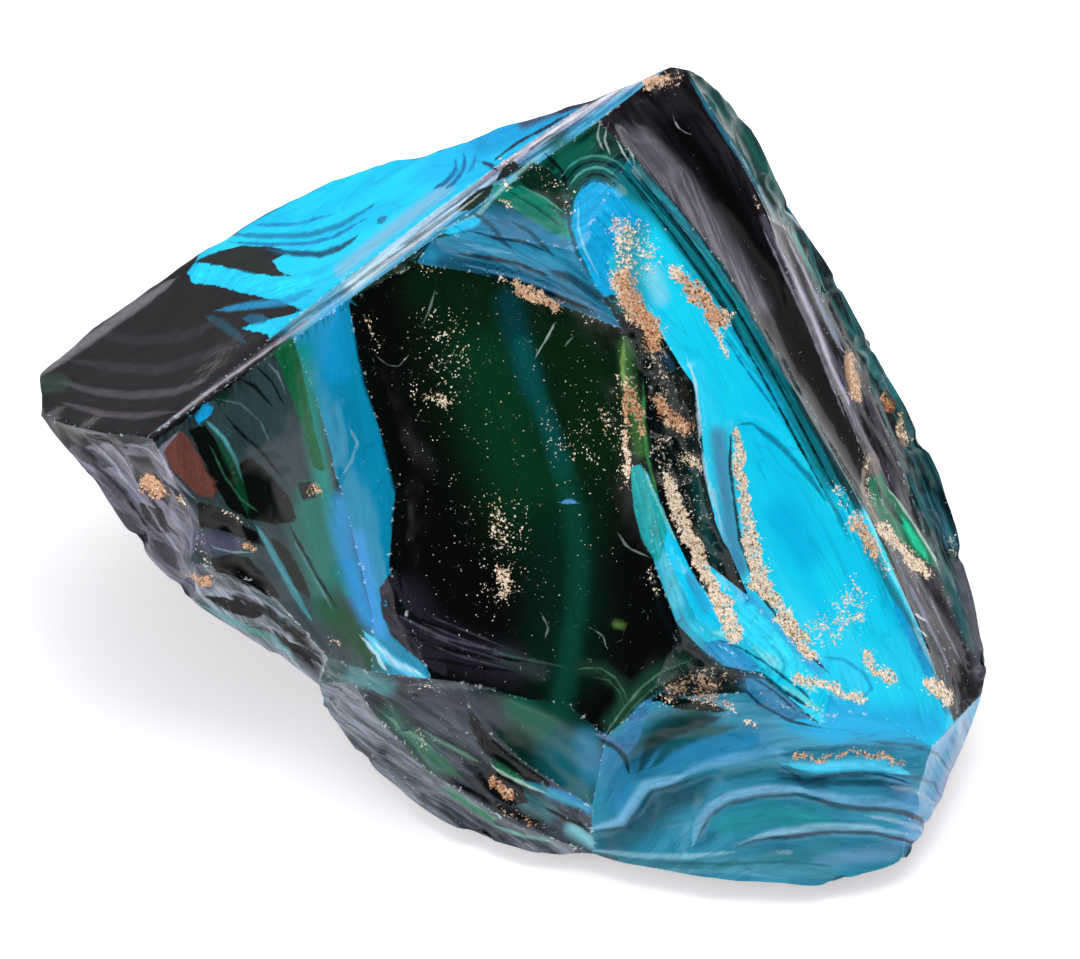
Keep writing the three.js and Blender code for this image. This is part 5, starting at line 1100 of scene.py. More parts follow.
class Skin:
    """The skin's points with what is painted on them."""

    def __init__(self, mesh):
        self.mesh = mesh
        self.places = read_triples(mesh.vertices, "co") / MM
        self.normals = read_triples(mesh.vertex_normals, "vector")
        self.spots = onto_plane(self.places)
        self.shown = np.clip((self.normals @ TOWARDS + TURNED_AWAY) / TURN_FADE, 0, 1)
        self.names = list(FACES)
        self.rings = [ring_corners(FACES[name][0]) for name in self.names]
        gaps = self.gaps_to_faces(self.spots)
        nearest = gaps.argsort(axis=0)[:2]
        own_gap, next_gap = np.take_along_axis(gaps, nearest, axis=0)
        self.face, neighbour = nearest
        self.depth = -own_gap
        # two faces meet at border 0; the one that comes first in the list lies below 0
        half = (next_gap - own_gap) / 2
        neighbour = np.where(half < MIXED_REACH, neighbour, self.face)
        own_is_first = self.face < nearest[1]
        self.border = np.where(own_is_first, -half, half)
        self.sides = [
            np.where(own_is_first, self.face, neighbour),
            np.where(own_is_first, neighbour, self.face),
        ]
        deep = np.array([linear(FACES[name][1]) for name in self.names])
        pale = np.array([linear(FACES[name][2]) for name in self.names])
        self.deep = [deep[side] for side in self.sides]
        self.pale = [pale[side] for side in self.sides]
        count = len(self.places)
        self.flow = np.zeros((count, 3))
        self.fineness, self.streak, self.dull = np.zeros((3, count))
        for number, name in enumerate(self.names):
            *_, stream, pitch, strength, dull = FACES[name]
            here = self.face == number
            far, side, along, _ = beside_line(self.spots[here], STREAMS[stream])
            shift = np.full(here.sum(), number * STREAK_SHIFT)
            self.flow[here] = np.stack([along, far * side, shift], axis=1)
            self.fineness[here] = 1 / pitch
            self.streak[here] = strength * np.clip(half[here] / STREAK_FADE, 0, 1)
            self.dull[here] = dull

    def gaps_to_faces(self, spots):
        return np.stack([outside_ring(spots, ring) for ring in self.rings])

    def on_face(self, name):
        return self.face == self.names.index(name)

    def wash(self, colour, width, strength, line):
        """Tints the faces that the line runs over, and no others."""
        far = beside_line(self.spots, line)[0]
        under = self.gaps_to_faces(np.array(line, float)).argmin(axis=0)
        for side, deep, pale in zip(self.sides, self.deep, self.pale):
            share = (strength * bump_shape(far / width * 1.5 - 0.15) * np.isin(side, under))[:, None]
            for tone, shade in zip((deep, pale), WASH_SHADES):
                tone += share * (linear(colour) * shade - tone)

    def layer(self, marks):
        """The last of the marks that covers, or nearly covers, each point: the point's place across its
        middle line, how far off its edge is, half its width there, and its colour."""
        count = len(self.spots)
        side, edge = np.full((2, count), OUT_OF_REACH)
        half = np.zeros(count)
        ink = np.zeros((count, 4))
        for colour, width, line in marks:
            if width is None:
                new_edge = outside_ring(self.spots, np.array(line, float))
                new_side, new_half = new_edge, np.zeros(count)
            else:
                far, sign, along, run = beside_line(self.spots, line)
                taper = np.clip(1.15 * np.sqrt(np.clip(np.sin(np.pi * along / run), 0, 1)), 0.15, 1)
                new_half = 0.5 * width * taper
                new_side, new_edge = far * sign, far - new_half
            take = (new_edge < edge) | (new_edge < TAKES_OVER)
            for kept, new in ((side, new_side), (edge, new_edge), (half, new_half)):
                kept[take] = new[take]
            ink[take] = (*linear(colour), opacity(colour))
        return side, edge, half, ink

    def write(self, name, values):
        kinds = {1: ("FLOAT", "value"), 3: ("FLOAT_VECTOR", "vector"), 4: ("FLOAT_COLOR", "color")}
        kind, field = kinds[1 if values.ndim == 1 else values.shape[1]]
        store = self.mesh.attributes.new(name, kind, "POINT")
        store.data.foreach_set(field, values.astype(np.float32).ravel())


def with_fourth(colours, fourth):
    return np.hstack([colours, fourth[:, None]])


def strongest(spots, lines):
    """The largest of the soft-edged lines' values at each spot."""
    value = np.zeros(len(spots))
    for strength, width, line in lines:
        far = beside_line(spots, line)[0]
        value = np.maximum(value, strength * bump_shape(far / width * 1.7 - 0.25))
    return value


def raise_relief(skin):
    """Moves the skin's points along their normals: chips, waves, ripples and low relief."""
    places, spots = skin.places, skin.spots
    fade = np.clip(skin.depth / RELIEF_FADE, 0, 1) * skin.shown
    lift = np.zeros(len(places))
    for name, (depth, size) in CHIPPED.items():
        here = skin.on_face(name) & (skin.shown > 0)
        stretched = skin.flow[here] * CHIP_SHAPE + 0.5 * smooth_noise(places[here], 2, 1)[:, None]
        lift[here] += depth * (2 * shell_chips(stretched / size, CHIP_TILT) - 0.5) * fade[here]
    for name, (height, spacing) in FLUTED.items():
        here = skin.on_face(name) & (skin.shown > 0)
        across = skin.flow[here, 1] + 1.2 * smooth_noise(places[here], 6, 1, 3)
        swell = 0.6 + 0.8 * smooth_noise(places[here], 5, 1, 5)
        lift[here] += height * swell * np.sin(2 * np.pi * across / spacing) * fade[here]
    for middle, reach, spacing, height in RIPPLES:
        far = np.hypot(*(spots - middle).T)
        lift += height * np.sin(2 * np.pi * far / spacing) * bump_shape(far / reach) * skin.shown
    for height, width, line in RELIEFS:
        far = beside_line(spots, line)[0]
        lift += height * bump_shape(far / width) * skin.shown
    calm = np.where(skin.on_face("castTop") | skin.on_face("swath"), CALM_SHARE, 1.0)
    lift += UNEVEN * calm * smooth_noise(places, 2.4, 3, 8) * np.where(skin.shown > 0, fade, 1)
    lift += (1 - skin.shown) * UNEVEN_BEHIND * smooth_noise(places, 4.5, 2, 11)
    lift[places[:, 2] < BASE_HEIGHT] = 0
    moved = places + skin.normals * np.clip(lift, DEEPEST, HIGHEST)[:, None]
    low, high = np.array(cad_box) / MM
    moved = np.clip(moved, low, high)
    skin.mesh.vertices.foreach_set("co", (moved * MM).astype(np.float32).ravel())
    skin.mesh.update()


def spread_out(marks):
    """Shares marks out over layers, so that marks that come close to each other never share one."""
    layers = [[] for _ in range(LINE_LAYERS)]
    placed = []
    for colour, width, line in marks:
        dense = np.concatenate([np.linspace(a, b, 8) for a, b in zip(line[:-1], line[1:])])
        level = 0
        taken = set()
        for other_dense, other_width, other_level in placed:
            gap = np.linalg.norm(dense[:, None] - other_dense[None], axis=2).min() - (width + other_width) / 2
            if gap < 0:
                level = max(level, other_level + 1)
            elif gap < CLEARANCE:
                taken.add(other_level)
        while level in taken:
            level += 1
        level = min(level, LINE_LAYERS - 1)
        placed.append((dense, width, level))
        layers[level].append((colour, width, line))
    return layers


def paint(skin):
    """Writes the colours, the streams and the marks as attributes of the skin."""
    for colour, width, strength, line in WASHES:
        skin.wash(colour, width, strength, line)
    clumps = np.clip(1 + 3.2 * smooth_noise(skin.places, 0.7, 2, 17), 0.05, 2.4)
    astray = np.stack([smooth_noise(skin.places, 1.3, 2, seed) for seed in (23, 29)], axis=1)
    grains = strongest(skin.spots + ASTRAY * astray, GRAINS) * skin.shown
    for number, reach, middle in HIDDEN_GRAINS:
        far = np.linalg.norm((skin.places - middle - CENTRING) * (1, 1, 0.5), axis=1)
        grains = np.maximum(grains, number * bump_shape(far / reach) * (1 - skin.shown))
    skin.copper = strongest(skin.spots, COPPERY)
    for number in (0, 1):
        skin.write(f"deep_colour_{number}", with_fourth(skin.deep[number], skin.dull))
        skin.write(f"pale_colour_{number}", with_fourth(skin.pale[number], skin.streak))
    for name, values in {
        "border": skin.border,
        "stream": skin.flow,
        "copper": skin.copper,
        "fineness": skin.fineness,
        "lined": strongest(skin.spots, LINED),
        "crumbs": np.clip(grains / FULL_CRUST, 0, 1),
        "shown": skin.shown,
        # painted shade: how far each point faces down; the back turns near black there
        "under": np.clip(-2.2 * skin.normals[:, 2], 0, 1),
    }.items():
        skin.write(name, values)
    layers = [[(colour, None, ring) for colour, ring in PATCHES], *spread_out(RIBBONS + THREADS)]
    for number, marks in enumerate(layers):
        *place, ink = skin.layer(marks)
        skin.write(f"mark_{number}", np.stack(place, axis=1))
        skin.write(f"ink_{number}", ink)
    return grains * clumps


def add(tree, kind, inputs=None, **settings):
    """Adds a node with its settings, and its inputs as values or as links from other nodes' outputs."""
    node = tree.nodes.new(kind)
    for name, value in settings.items():
        setattr(node, name, value)
    for socket, value in (inputs or {}).items():
        if isinstance(value, bpy.types.NodeSocket):
            tree.links.new(value, node.inputs[socket])
        else:
            node.inputs[socket].default_value = value
    return node


def new_material(name):
    material = bpy.data.materials.new(name)
    material.use_nodes = True
    material.node_tree.nodes.clear()
    return material, material.node_tree


# The colours of the streams on the back and underside, and where each one starts, from 0 at the left to 1.
BACK_STREAMS = [
    (0.0, "#121116"), (0.26, "#1C1B21"), (0.30, "#3A3C46"), (0.315, "#0A1E26"), (0.35, "#0C3E52"),
    (0.365, "#0E9CD0"), (0.405, "#10AEE6"), (0.42, "#0A5A70"), (0.435, "#42A8CC"), (0.47, "#0E88B8"),
    (0.485, "#063434"), (0.51, "#084A44"), (0.525, "#0CA0DA"), (0.57, "#14B8F2"), (0.585, "#0A5A56"),
    (0.60, "#04281C"), (0.65, "#060A08"), (0.665, "#0A5648"), (0.70, "#0E6A5A"), (0.715, "#1490C4"),
    (0.75, "#1AA4DC"), (0.765, "#104A62"), (0.79, "#121216"), (0.88, "#1C1B20"), (0.90, "#0A6444"),
    (0.94, "#2E2A32"), (1.0, "#16151A"),
]

# What is painted on the skin and read by its glass.
PAINTED = (
    "border", "stream", "fineness", "lined", "shown", "under", "crumbs", "copper",
    "deep_colour_0", "deep_colour_1", "pale_colour_0", "pale_colour_1",
)

# The fine patterns of the glass: how many of their lumps lie in each mm, how many finer sizes of lumps lie
# over those, how strong the finer ones are, and how far the lumps are twisted. Grit and crumbs of metal are
# half a mm to a fifth of a mm wide, which is as fine as shows.
PATTERNS = {
    "grit": (2.2, 3, 0.5, 0),
    "ragged": (1.1, 4, 0.6, 0),
    "chip_glints": (2, 3, 0.75, 0),
    "fibres": (0.75, 1, 0.5, 0.8),
    "torn": (0.9, 3, 0.8, 0),
    "swirl": (0.045, 2, 0.45, 0),
    "heaps": (3, 3, 0.8, 0),
    "tint": (4.6, 2, 0.8, 0),
    "smudges": (0.5, 4, 0.6, 0),
}


def glass_material():
    """Swirled soda-lime glass, broken by blows: opaque streams in dark clear glass, glossy as a wet stone."""
    material, tree = new_material("swirled_slag_glass")
    place = add(tree, "ShaderNodeTexCoord").outputs["Object"]
    in_mm = add(tree, "ShaderNodeVectorMath", {0: place, "Scale": 1 / MM}, operation="SCALE").outputs[0]
    painted = {name: add(tree, "ShaderNodeAttribute", attribute_name=name).outputs for name in PAINTED}
    pattern = {}
    for name, (per_mm, detail, strength, twist) in PATTERNS.items():
        pattern[name] = add(tree, "ShaderNodeTexNoise", {
            "Vector": in_mm, "Scale": per_mm, "Detail": detail, "Roughness": strength, "Distortion": twist,
        }).outputs

    # streaks that run along the streams, with hairlines between them
    border = painted["border"]["Fac"]
    beyond = add(tree, "ShaderNodeMapRange", {0: border, 1: -0.035, 2: 0.035},
                 interpolation_type="SMOOTHSTEP").outputs[0]
    deep, pale = [
        add(tree, "ShaderNodeMix", {
            0: beyond, 6: painted[f"{tone}_colour_0"]["Color"], 7: painted[f"{tone}_colour_1"]["Color"],
        }, data_type="RGBA").outputs[2]
        for tone in ("deep", "pale")
    ]
    dull = painted["deep_colour_0"]["Alpha"]
    streaked = painted["pale_colour_0"]["Alpha"]
    stream = painted["stream"]["Vector"]
    scaled = add(tree, "ShaderNodeVectorMath", {0: stream, "Scale": painted["fineness"]["Fac"]},
                 operation="SCALE").outputs[0]
    wide = add(tree, "ShaderNodeVectorMath", {0: scaled, 1: (0.16, 1, 1)}, operation="MULTIPLY").outputs[0]
    long = add(tree, "ShaderNodeVectorMath", {0: stream, 1: (0.07, 1, 1)}, operation="MULTIPLY").outputs[0]
    broad = add(tree, "ShaderNodeTexNoise", {
        "Vector": wide, "Scale": 1.0, "Detail": 4.0, "Roughness": 0.6, "Distortion": 0.35,
    }).outputs[0]
    hair = add(tree, "ShaderNodeTexNoise", {
        "Vector": long, "Scale": 2.6, "Detail": 3.0, "Roughness": 0.65,
    }).outputs[0]
    both = add(tree, "ShaderNodeMix", {0: 0.32, 2: broad, 3: hair}).outputs[0]
    spread = add(tree, "ShaderNodeMapRange", {0: both, 1: 0.4, 2: 0.6, 3: -0.5, 4: 0.5},
                 interpolation_type="SMOOTHSTEP").outputs[0]
    share = add(tree, "ShaderNodeMath", {0: spread, 1: streaked, 2: 0.45},
                operation="MULTIPLY_ADD", use_clamp=True).outputs[0]
    body = add(tree, "ShaderNodeMix", {0: share, 6: deep, 7: pale}, data_type="RGBA").outputs[2]
    darker = add(tree, "ShaderNodeVectorMath", {0: deep, "Scale": 0.3}, operation="SCALE").outputs[0]
    vein = add(tree, "ShaderNodeTexNoise", {
        "Vector": wide, "Scale": 0.9, "Detail": 2.0, "Distortion": 0.6,
    }).outputs[0]
    vein = add(tree, "ShaderNodeMath", {0: vein, 1: 0.5}, operation="SUBTRACT").outputs[0]
    vein = add(tree, "ShaderNodeMath", {0: vein}, operation="ABSOLUTE").outputs[0]
    vein = add(tree, "ShaderNodeMapRange", {0: vein, 1: 0.0, 2: 0.02, 3: 0.45, 4: 0.0},
               interpolation_type="SMOOTHSTEP").outputs[0]
    vein = add(tree, "ShaderNodeMath", {0: vein, 1: streaked}, operation="MULTIPLY").outputs[0]
    body = add(tree, "ShaderNodeMix", {0: vein, 6: body, 7: darker}, data_type="RGBA").outputs[2]

    # glass drawn out into fine lines, some dark and some pale
    lined = painted["lined"]["Fac"]
    drawn = add(tree, "ShaderNodeVectorMath", {0: stream, 1: (0.035, 1, 1)}, operation="MULTIPLY").outputs[0]
    drawn = add(tree, "ShaderNodeTexNoise", {
        "Vector": drawn, "Scale": 2.4, "Detail": 3.0, "Roughness": 0.8,
    }).outputs[0]
    for low, high, ink, strength in [(0.5, 0.56, darker, 0.95), (0.46, 0.41, pale, 0.8)]:
        line = add(tree, "ShaderNodeMapRange", {0: drawn, 1: low, 2: high, 3: 0.0, 4: strength},
                   interpolation_type="SMOOTHSTEP").outputs[0]
        line = add(tree, "ShaderNodeMath", {0: line, 1: lined}, operation="MULTIPLY").outputs[0]
        body = add(tree, "ShaderNodeMix", {0: line, 6: body, 7: ink}, data_type="RGBA").outputs[2]

    # the marks: pools of colour whose edges feather out along the streams, then lines with ragged edges
    grit = pattern["grit"][0]
    feather = add(tree, "ShaderNodeMix", {0: 0.35, 2: hair, 3: grit}).outputs[0]
    shift = add(tree, "ShaderNodeMath", {0: feather, 1: -0.5}, operation="ADD").outputs[0]
    ragged = add(tree, "ShaderNodeMath", {0: pattern["ragged"][0], 1: -0.5}, operation="ADD").outputs[0]
    mottle = add(tree, "ShaderNodeMapRange", {0: feather, 1: 0.3, 2: 0.7, 3: 0.6, 4: 1.4}).outputs[0]
    for number in range(LINE_LAYERS + 1):
        mark = add(tree, "ShaderNodeAttribute", attribute_name=f"mark_{number}").outputs["Vector"]
        ink = add(tree, "ShaderNodeAttribute", attribute_name=f"ink_{number}").outputs
        side, edge, half = add(tree, "ShaderNodeSeparateXYZ", {0: mark}).outputs
        if number == 0:
            gap, stray, wobble, blur = edge, shift, 0.65, 0.08
        else:
            stray, wobble = ragged, 0.35
            blur = add(tree, "ShaderNodeMath", {0: half, 1: 0.45, 2: 0.05},
                       operation="MULTIPLY_ADD").outputs[0]
            far = add(tree, "ShaderNodeMath", {0: side}, operation="ABSOLUTE").outputs[0]
            across = add(tree, "ShaderNodeMath", {0: far, 1: half}, operation="SUBTRACT").outputs[0]
            end = add(tree, "ShaderNodeMath", {0: edge, 1: 0.35}, operation="SUBTRACT").outputs[0]
            gap = add(tree, "ShaderNodeMath", {0: across, 1: end}, operation="MAXIMUM").outputs[0]
        gap = add(tree, "ShaderNodeMath", {0: stray, 1: wobble, 2: gap}, operation="MULTIPLY_ADD").outputs[0]
        share = add(tree, "ShaderNodeMath", {0: gap, 1: blur}, operation="DIVIDE").outputs[0]
        cover = add(tree, "ShaderNodeMapRange", {0: share, 1: 1.0, 2: -1.0, 3: 0.0, 4: ink["Alpha"]},
                    interpolation_type="SMOOTHSTEP").outputs[0]
        mottled = add(tree, "ShaderNodeVectorMath", {0: ink["Color"], "Scale": mottle},
                      operation="SCALE").outputs[0]
        body = add(tree, "ShaderNodeMix", {0: cover, 6: body, 7: mottled}, data_type="RGBA").outputs[2]

    # painted glints: tiny pale flecks on chips along the edges between the faces and on the roughest of them
    apart = add(tree, "ShaderNodeMath", {0: border}, operation="ABSOLUTE").outputs[0]
    sound = add(tree, "ShaderNodeMath", {0: dull, 1: -1.2, 2: 0.5}, operation="MULTIPLY_ADD").outputs[0]
    apart = add(tree, "ShaderNodeMath", {0: apart, 1: sound}, operation="MINIMUM").outputs[0]
    chip_glint = add(tree, "ShaderNodeMath", {0: apart, 1: -0.35, 2: pattern["chip_glints"][0]},
                   operation="MULTIPLY_ADD").outputs[0]
    chip_glint = add(tree, "ShaderNodeMapRange", {0: chip_glint, 1: 0.575, 2: 0.6, 3: 0.0, 4: 0.75}).outputs[0]
    light = add(tree, "ShaderNodeMix", {0: 0.5, 6: pale, 7: (*linear("#E8F4F4"), 1)},
                data_type="RGBA").outputs[2]
    body = add(tree, "ShaderNodeMix", {0: chip_glint, 6: body, 7: light}, data_type="RGBA").outputs[2]

    # hairline scratches on the glossiest faces, broken up by a second pattern
    fibre = add(tree, "ShaderNodeMath", {0: pattern["fibres"][0], 1: 0.5}, operation="SUBTRACT").outputs[0]
    fibre = add(tree, "ShaderNodeMath", {0: fibre}, operation="ABSOLUTE").outputs[0]
    fibre = add(tree, "ShaderNodeMapRange", {0: fibre, 1: 0.0045, 2: 0.002, 3: 0.0, 4: 0.5}).outputs[0]
    torn = add(tree, "ShaderNodeMapRange", {0: pattern["torn"][0], 1: 0.58, 2: 0.64}).outputs[0]
    gloss = add(tree, "ShaderNodeMapRange", {0: dull, 1: 0.0, 2: 0.03, 3: 1.0, 4: 0.0}).outputs[0]
    for part in (torn, gloss):
        fibre = add(tree, "ShaderNodeMath", {0: fibre, 1: part}, operation="MULTIPLY").outputs[0]
    body = add(tree, "ShaderNodeMix", {0: fibre, 6: body, 7: (*linear("#B4C0B8"), 1)},
               data_type="RGBA").outputs[2]

    # the back: the same streams, bent by a slow swirl
    bend = add(tree, "ShaderNodeVectorMath", {0: pattern["swirl"][1], 1: (26, 26, 26), 2: in_mm},
               operation="MULTIPLY_ADD").outputs[0]
    across = add(tree, "ShaderNodeVectorMath", {0: bend, 1: (0.0090, -0.0042, 0.0062)},
                 operation="DOT_PRODUCT").outputs["Value"]
    fine = add(tree, "ShaderNodeVectorMath", {0: bend, 1: (0.9, 0.16, 0.6)}, operation="MULTIPLY").outputs[0]
    wisps = add(tree, "ShaderNodeTexNoise", {
        "Vector": fine, "Scale": 0.7, "Detail": 6.0, "Roughness": 0.62,
    }).outputs[0]
    level = add(tree, "ShaderNodeMath", {0: wisps, 1: 0.14, 2: across}, operation="MULTIPLY_ADD").outputs[0]
    level = add(tree, "ShaderNodeMath", {0: level, 1: 0.26}, operation="ADD").outputs[0]
    ramp = add(tree, "ShaderNodeValToRGB", {0: level})
    stops = ramp.color_ramp.elements
    for spot, colour in BACK_STREAMS[1:-1]:
        stops.new(spot).color = (*linear(colour), 1)
    for end in (0, -1):
        stops[end].color = (*linear(BACK_STREAMS[end][1]), 1)
    # painted shade: where the skin faces down, the back's colours turn near black
    back = add(tree, "ShaderNodeMix", {
        0: painted["under"]["Fac"], 6: ramp.outputs[0], 7: (*linear("#17161B"), 1),
    }, data_type="RGBA").outputs[2]
    colour = add(tree, "ShaderNodeMix", {0: painted["shown"]["Fac"], 6: back, 7: body},
                 data_type="RGBA").outputs[2]

    # crusts of metal crumbs
    bar = add(tree, "ShaderNodeMapRange", {
        0: painted["crumbs"]["Fac"], 1: 0.0, 2: 1.0, 3: 0.78, 4: 0.4,
    }).outputs[0]
    over = add(tree, "ShaderNodeMath", {0: pattern["heaps"][0], 1: bar}, operation="SUBTRACT").outputs[0]
    crust = add(tree, "ShaderNodeMapRange", {0: over, 1: 0.0, 2: 0.02},
                interpolation_type="SMOOTHSTEP").outputs[0]
    metals = []
    for inks in (("#5A4028", "#DDB78C", "#FFF3DC"), ("#3A2014", "#B4764A", "#EBC49C")):
        metal = add(tree, "ShaderNodeValToRGB", {0: pattern["tint"][0]})
        stops = metal.color_ramp.elements
        stops.new(0.46)
        for stop, spot, ink in zip(stops, (0.36, 0.46, 0.56), inks):
            stop.position = spot
            stop.color = (*linear(ink), 1)
        metals.append(metal.outputs[0])
    metal = add(tree, "ShaderNodeMix", {0: painted["copper"]["Fac"], 6: metals[0], 7: metals[1]},
                data_type="RGBA").outputs[2]
    colour = add(tree, "ShaderNodeMix", {0: crust, 6: colour, 7: metal}, data_type="RGBA").outputs[2]

    # gloss, with smudges, and grit too fine for the mesh; the breaks mirror a little less than new glass
    # does, whose IOR is 1.5
    rough = add(tree, "ShaderNodeMath", {0: pattern["smudges"][0], 1: 0.1}, operation="MULTIPLY").outputs[0]
    rough = add(tree, "ShaderNodeMath", {0: dull, 1: 0.5, 2: rough}, operation="MULTIPLY_ADD").outputs[0]
    rough = add(tree, "ShaderNodeMath", {0: crust, 1: 0.4, 2: rough}, operation="MULTIPLY_ADD").outputs[0]
    height = add(tree, "ShaderNodeMath", {0: crust, 1: 2.4, 2: grit}, operation="MULTIPLY_ADD").outputs[0]
    bump = add(tree, "ShaderNodeBump", {"Strength": 0.13, "Distance": 0.06 * MM, "Height": height})
    glass = add(tree, "ShaderNodeBsdfPrincipled", {
        "Base Color": colour, "Roughness": rough, "IOR": 1.32, "Normal": bump.outputs[0],
    })
    add(tree, "ShaderNodeOutputMaterial", {"Surface": glass.outputs[0]})
    return material


def grain_material():
    """Brass-coloured metal that came out of the melt as flakes: warm, a little dull, some of it coppery."""
    material, tree = new_material("native_brass_flakes")
    place = add(tree, "ShaderNodeTexCoord").outputs["Object"]
    in_mm = add(tree, "ShaderNodeVectorMath", {0: place, "Scale": 1 / MM}, operation="SCALE").outputs[0]
    patches = add(tree, "ShaderNodeTexNoise", {"Vector": in_mm, "Scale": 3.0, "Detail": 2.0}).outputs[0]
    ramp = add(tree, "ShaderNodeValToRGB", {0: patches})
    for stop, spot, ink in zip(ramp.color_ramp.elements, (0.36, 0.6), ("#E2BE94", "#FFF6E4")):
        stop.position = spot
        stop.color = (*linear(ink), 1)
    copper = add(tree, "ShaderNodeAttribute", attribute_name="copper").outputs["Fac"]
    colour = add(tree, "ShaderNodeMix", {0: copper, 6: ramp.outputs[0], 7: (*linear("#CC8A5A"), 1)},
                 data_type="RGBA").outputs[2]
    # flakes as small as these scatter more light than they mirror, so they are far from fully metallic
    metal = add(tree, "ShaderNodeBsdfPrincipled", {"Base Color": colour, "Metallic": 0.3, "Roughness": 0.45})
    add(tree, "ShaderNodeOutputMaterial", {"Surface": metal.outputs[0]})
    return material


# One grain: eight sides around a flat octahedron.
GRAIN_POINTS = np.array([(1, 0, 0), (0, 1, 0), (-1, 0, 0), (0, -1, 0), (0, 0, 0.55), (0, 0, -0.55)])
GRAIN_SIDES = np.array([
    (0, 1, 4), (1, 2, 4), (2, 3, 4), (3, 0, 4), (1, 0, 5), (2, 1, 5), (3, 2, 5), (0, 3, 5),
])


def grow_grains(skin, density):
    """Scatters grains over the skin where the density says, each set halfway into the glass."""
    mesh = skin.mesh
    chance = np.random.default_rng(7)
    sides = np.zeros(len(mesh.polygons) * 4, np.int32)
    mesh.loops.foreach_get("vertex_index", sides)
    sides = sides.reshape(-1, 4)
    corners = read_triples(mesh.vertices, "co")[sides] / MM
    crossed = np.cross(corners[:, 2] - corners[:, 0], corners[:, 3] - corners[:, 1])
    area = 0.5 * np.linalg.norm(crossed, axis=1)
    wanted = density[sides].mean(axis=1) * area
    number = chance.poisson(np.clip(wanted, 0, 6))
    chosen = np.repeat(np.arange(len(sides)), number)
    shares = chance.dirichlet((1, 1, 1, 1), len(chosen))
    middles = (corners[chosen] * shares[:, :, None]).sum(axis=1)
    first = sides[chosen, 0]
    normals = read_triples(mesh.vertex_normals, "vector")[first]
    across = np.cross(normals, chance.normal(size=(len(chosen), 3)))
    across /= np.linalg.norm(across, axis=1)[:, None]
    third = np.cross(normals, across)
    size = chance.uniform(*GRAIN_SIZES, len(chosen)) * np.clip(0.45 + density[first] / 24, 0.45, 1.2)
    shape = GRAIN_POINTS[None] * chance.uniform(0.6, 1.35, (len(chosen), 6, 1)) * size[:, None, None]
    shape[:, :, 0] *= chance.uniform(1, 2.4, len(chosen))[:, None]
    turned = (shape[:, :, :1] * across[:, None] + shape[:, :, 1:2] * third[:, None]
              + shape[:, :, 2:] * normals[:, None])
    points = (middles[:, None] + turned).reshape(-1, 3)
    faces = (GRAIN_SIDES[None] + 6 * np.arange(len(chosen))[:, None, None]).reshape(-1, 3)
    grains = bpy.data.meshes.new("metal_grains")
    grains.from_pydata((points * MM).tolist(), [], faces.tolist())
    copper = grains.attributes.new("copper", "FLOAT", "POINT")
    copper.data.foreach_set("value", np.repeat(skin.copper[first], 6).astype(np.float32))
    piece = bpy.data.objects.new("metal_grains", grains)
    bpy.context.scene.collection.objects.link(piece)
    return piece


def build_floor():
    bpy.ops.mesh.primitive_plane_add(size=3, location=(0, 0, -TABLE_DROP * MM))
    floor = bpy.context.object
    floor.name = "floor"
    material, tree = new_material("white_paper")
    paper = add(tree, "ShaderNodeBsdfPrincipled", {
        "Base Color": (*linear("#F6F6F7"), 1), "Roughness": 0.9, "Specular IOR Level": 0.1,
        "Emission Color": (1.0, 0.97, 0.98, 1), "Emission Strength": 0.42,
    })
    add(tree, "ShaderNodeOutputMaterial", {"Surface": paper.outputs[0]})
    floor.data.materials.append(material)


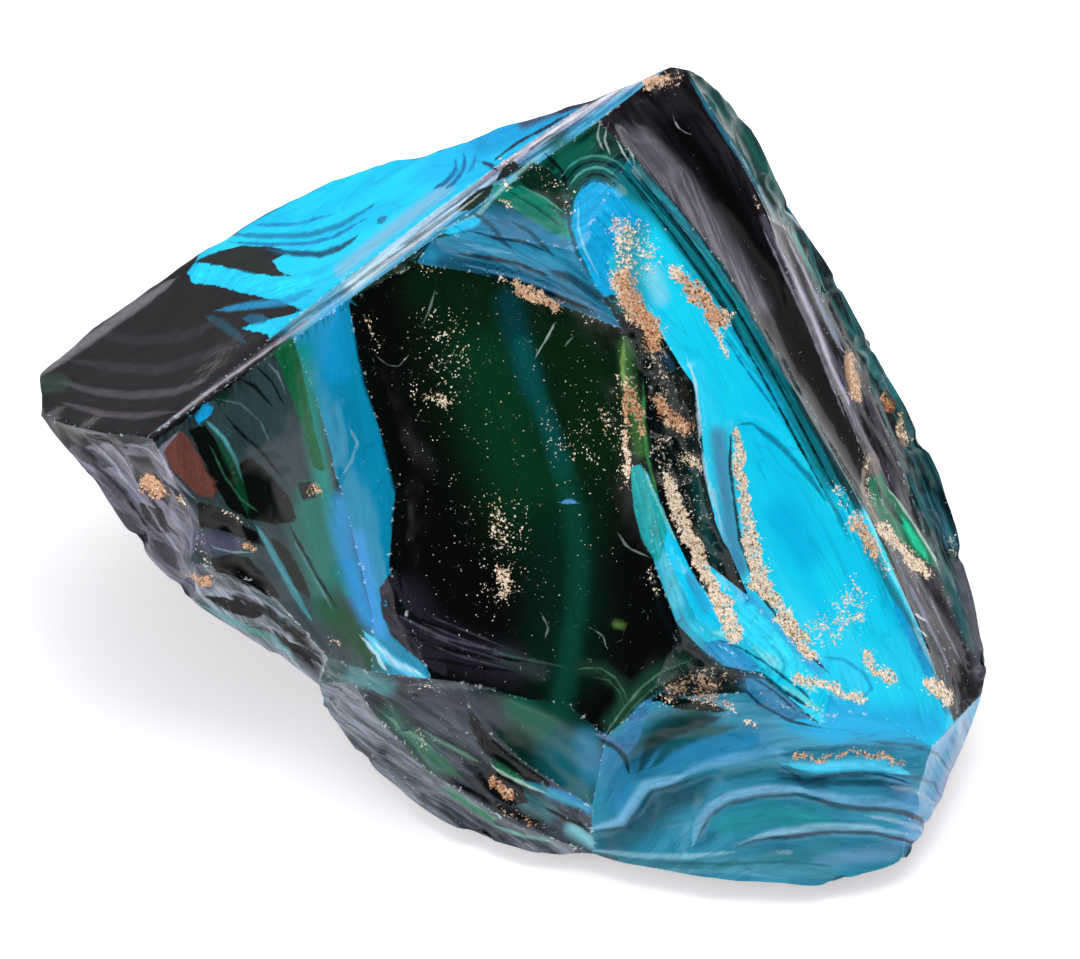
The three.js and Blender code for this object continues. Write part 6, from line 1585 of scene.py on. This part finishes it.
def build_light():
    """A pale room with dark screens around the lump, which keep its glass deep, and a soft lamp overhead."""
    world = bpy.data.worlds.new("pale_room")
    bpy.context.scene.world = world
    world.use_nodes = True
    tree = world.node_tree
    tree.nodes.clear()
    heading = add(tree, "ShaderNodeTexCoord").outputs["Generated"]
    colour = (0.98, 0.98, 1.0, 1)
    # the way to each screen, where its soft edge starts and ends, from 0 square to that way to 1 along it,
    # and how dark it is
    screens = [
        ((0.2, -0.5, 0.84), 0.5, 0.82, 1.0),
        ((-0.52, 0.81, 0.27), 0.8, 0.95, 0.85),
        ((0.9, 0.35, 0.2), 0.78, 0.94, 0.8),
        ((-0.58, 0.25, 0.77), 0.88, 0.97, 0.7),
    ]
    for way, start, end, depth in screens:
        facing = add(tree, "ShaderNodeVectorMath", {0: heading, 1: Vector(way).normalized()},
                     operation="DOT_PRODUCT").outputs["Value"]
        dark = add(tree, "ShaderNodeMapRange", {0: facing, 1: start, 2: end, 3: 0.0, 4: depth},
                   interpolation_type="SMOOTHSTEP").outputs[0]
        colour = add(tree, "ShaderNodeMix", {0: dark, 6: colour, 7: (0.04, 0.04, 0.05, 1)},
                     data_type="RGBA").outputs[2]
    room = add(tree, "ShaderNodeBackground", {"Color": colour, "Strength": 2.2})
    add(tree, "ShaderNodeOutputWorld", {"Surface": room.outputs[0]})

    lamp = bpy.data.lights.new("soft_lamp", "AREA")
    lamp.shape = "DISK"
    lamp.size = 0.14
    lamp.energy = 0.2
    holder = bpy.data.objects.new("soft_lamp", lamp)
    bpy.context.scene.collection.objects.link(holder)
    holder.location = (0.08, 0.1, 0.28)
    holder.rotation_euler = (Vector((0, 0, 0.02)) - holder.location).to_track_quat("-Z", "Y").to_euler()


def build_camera():
    camera = bpy.data.cameras.new("camera")
    camera.lens = 101.4
    camera.sensor_width = 36
    camera.clip_start = 0.01
    holder = bpy.data.objects.new("camera", camera)
    bpy.context.scene.collection.objects.link(holder)
    holder.location = (MIDDLE + DISTANCE * TOWARDS) * MM
    holder.rotation_euler = (math.pi / 2 - HEIGHT_ANGLE, 0, 0)
    bpy.context.scene.camera = holder


def build_stone():
    piece = fine_skin(frame["nodes"]["stone"])
    skin = Skin(piece.data)
    density = paint(skin)
    raise_relief(skin)
    bpy.ops.object.select_all(action="DESELECT")
    piece.select_set(True)
    bpy.context.view_layer.objects.active = piece
    bpy.ops.object.shade_smooth_by_angle(angle=math.radians(30))
    piece.data.materials.clear()
    piece.data.materials.append(glass_material())
    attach(piece, "root")
    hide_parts("stone")

    grains = grow_grains(skin, density)
    grains.data.materials.append(grain_material())
    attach(grains, "root")


build_camera()
build_light()
build_floor()
build_stone()
bpy.context.scene.view_settings.view_transform = "Standard"
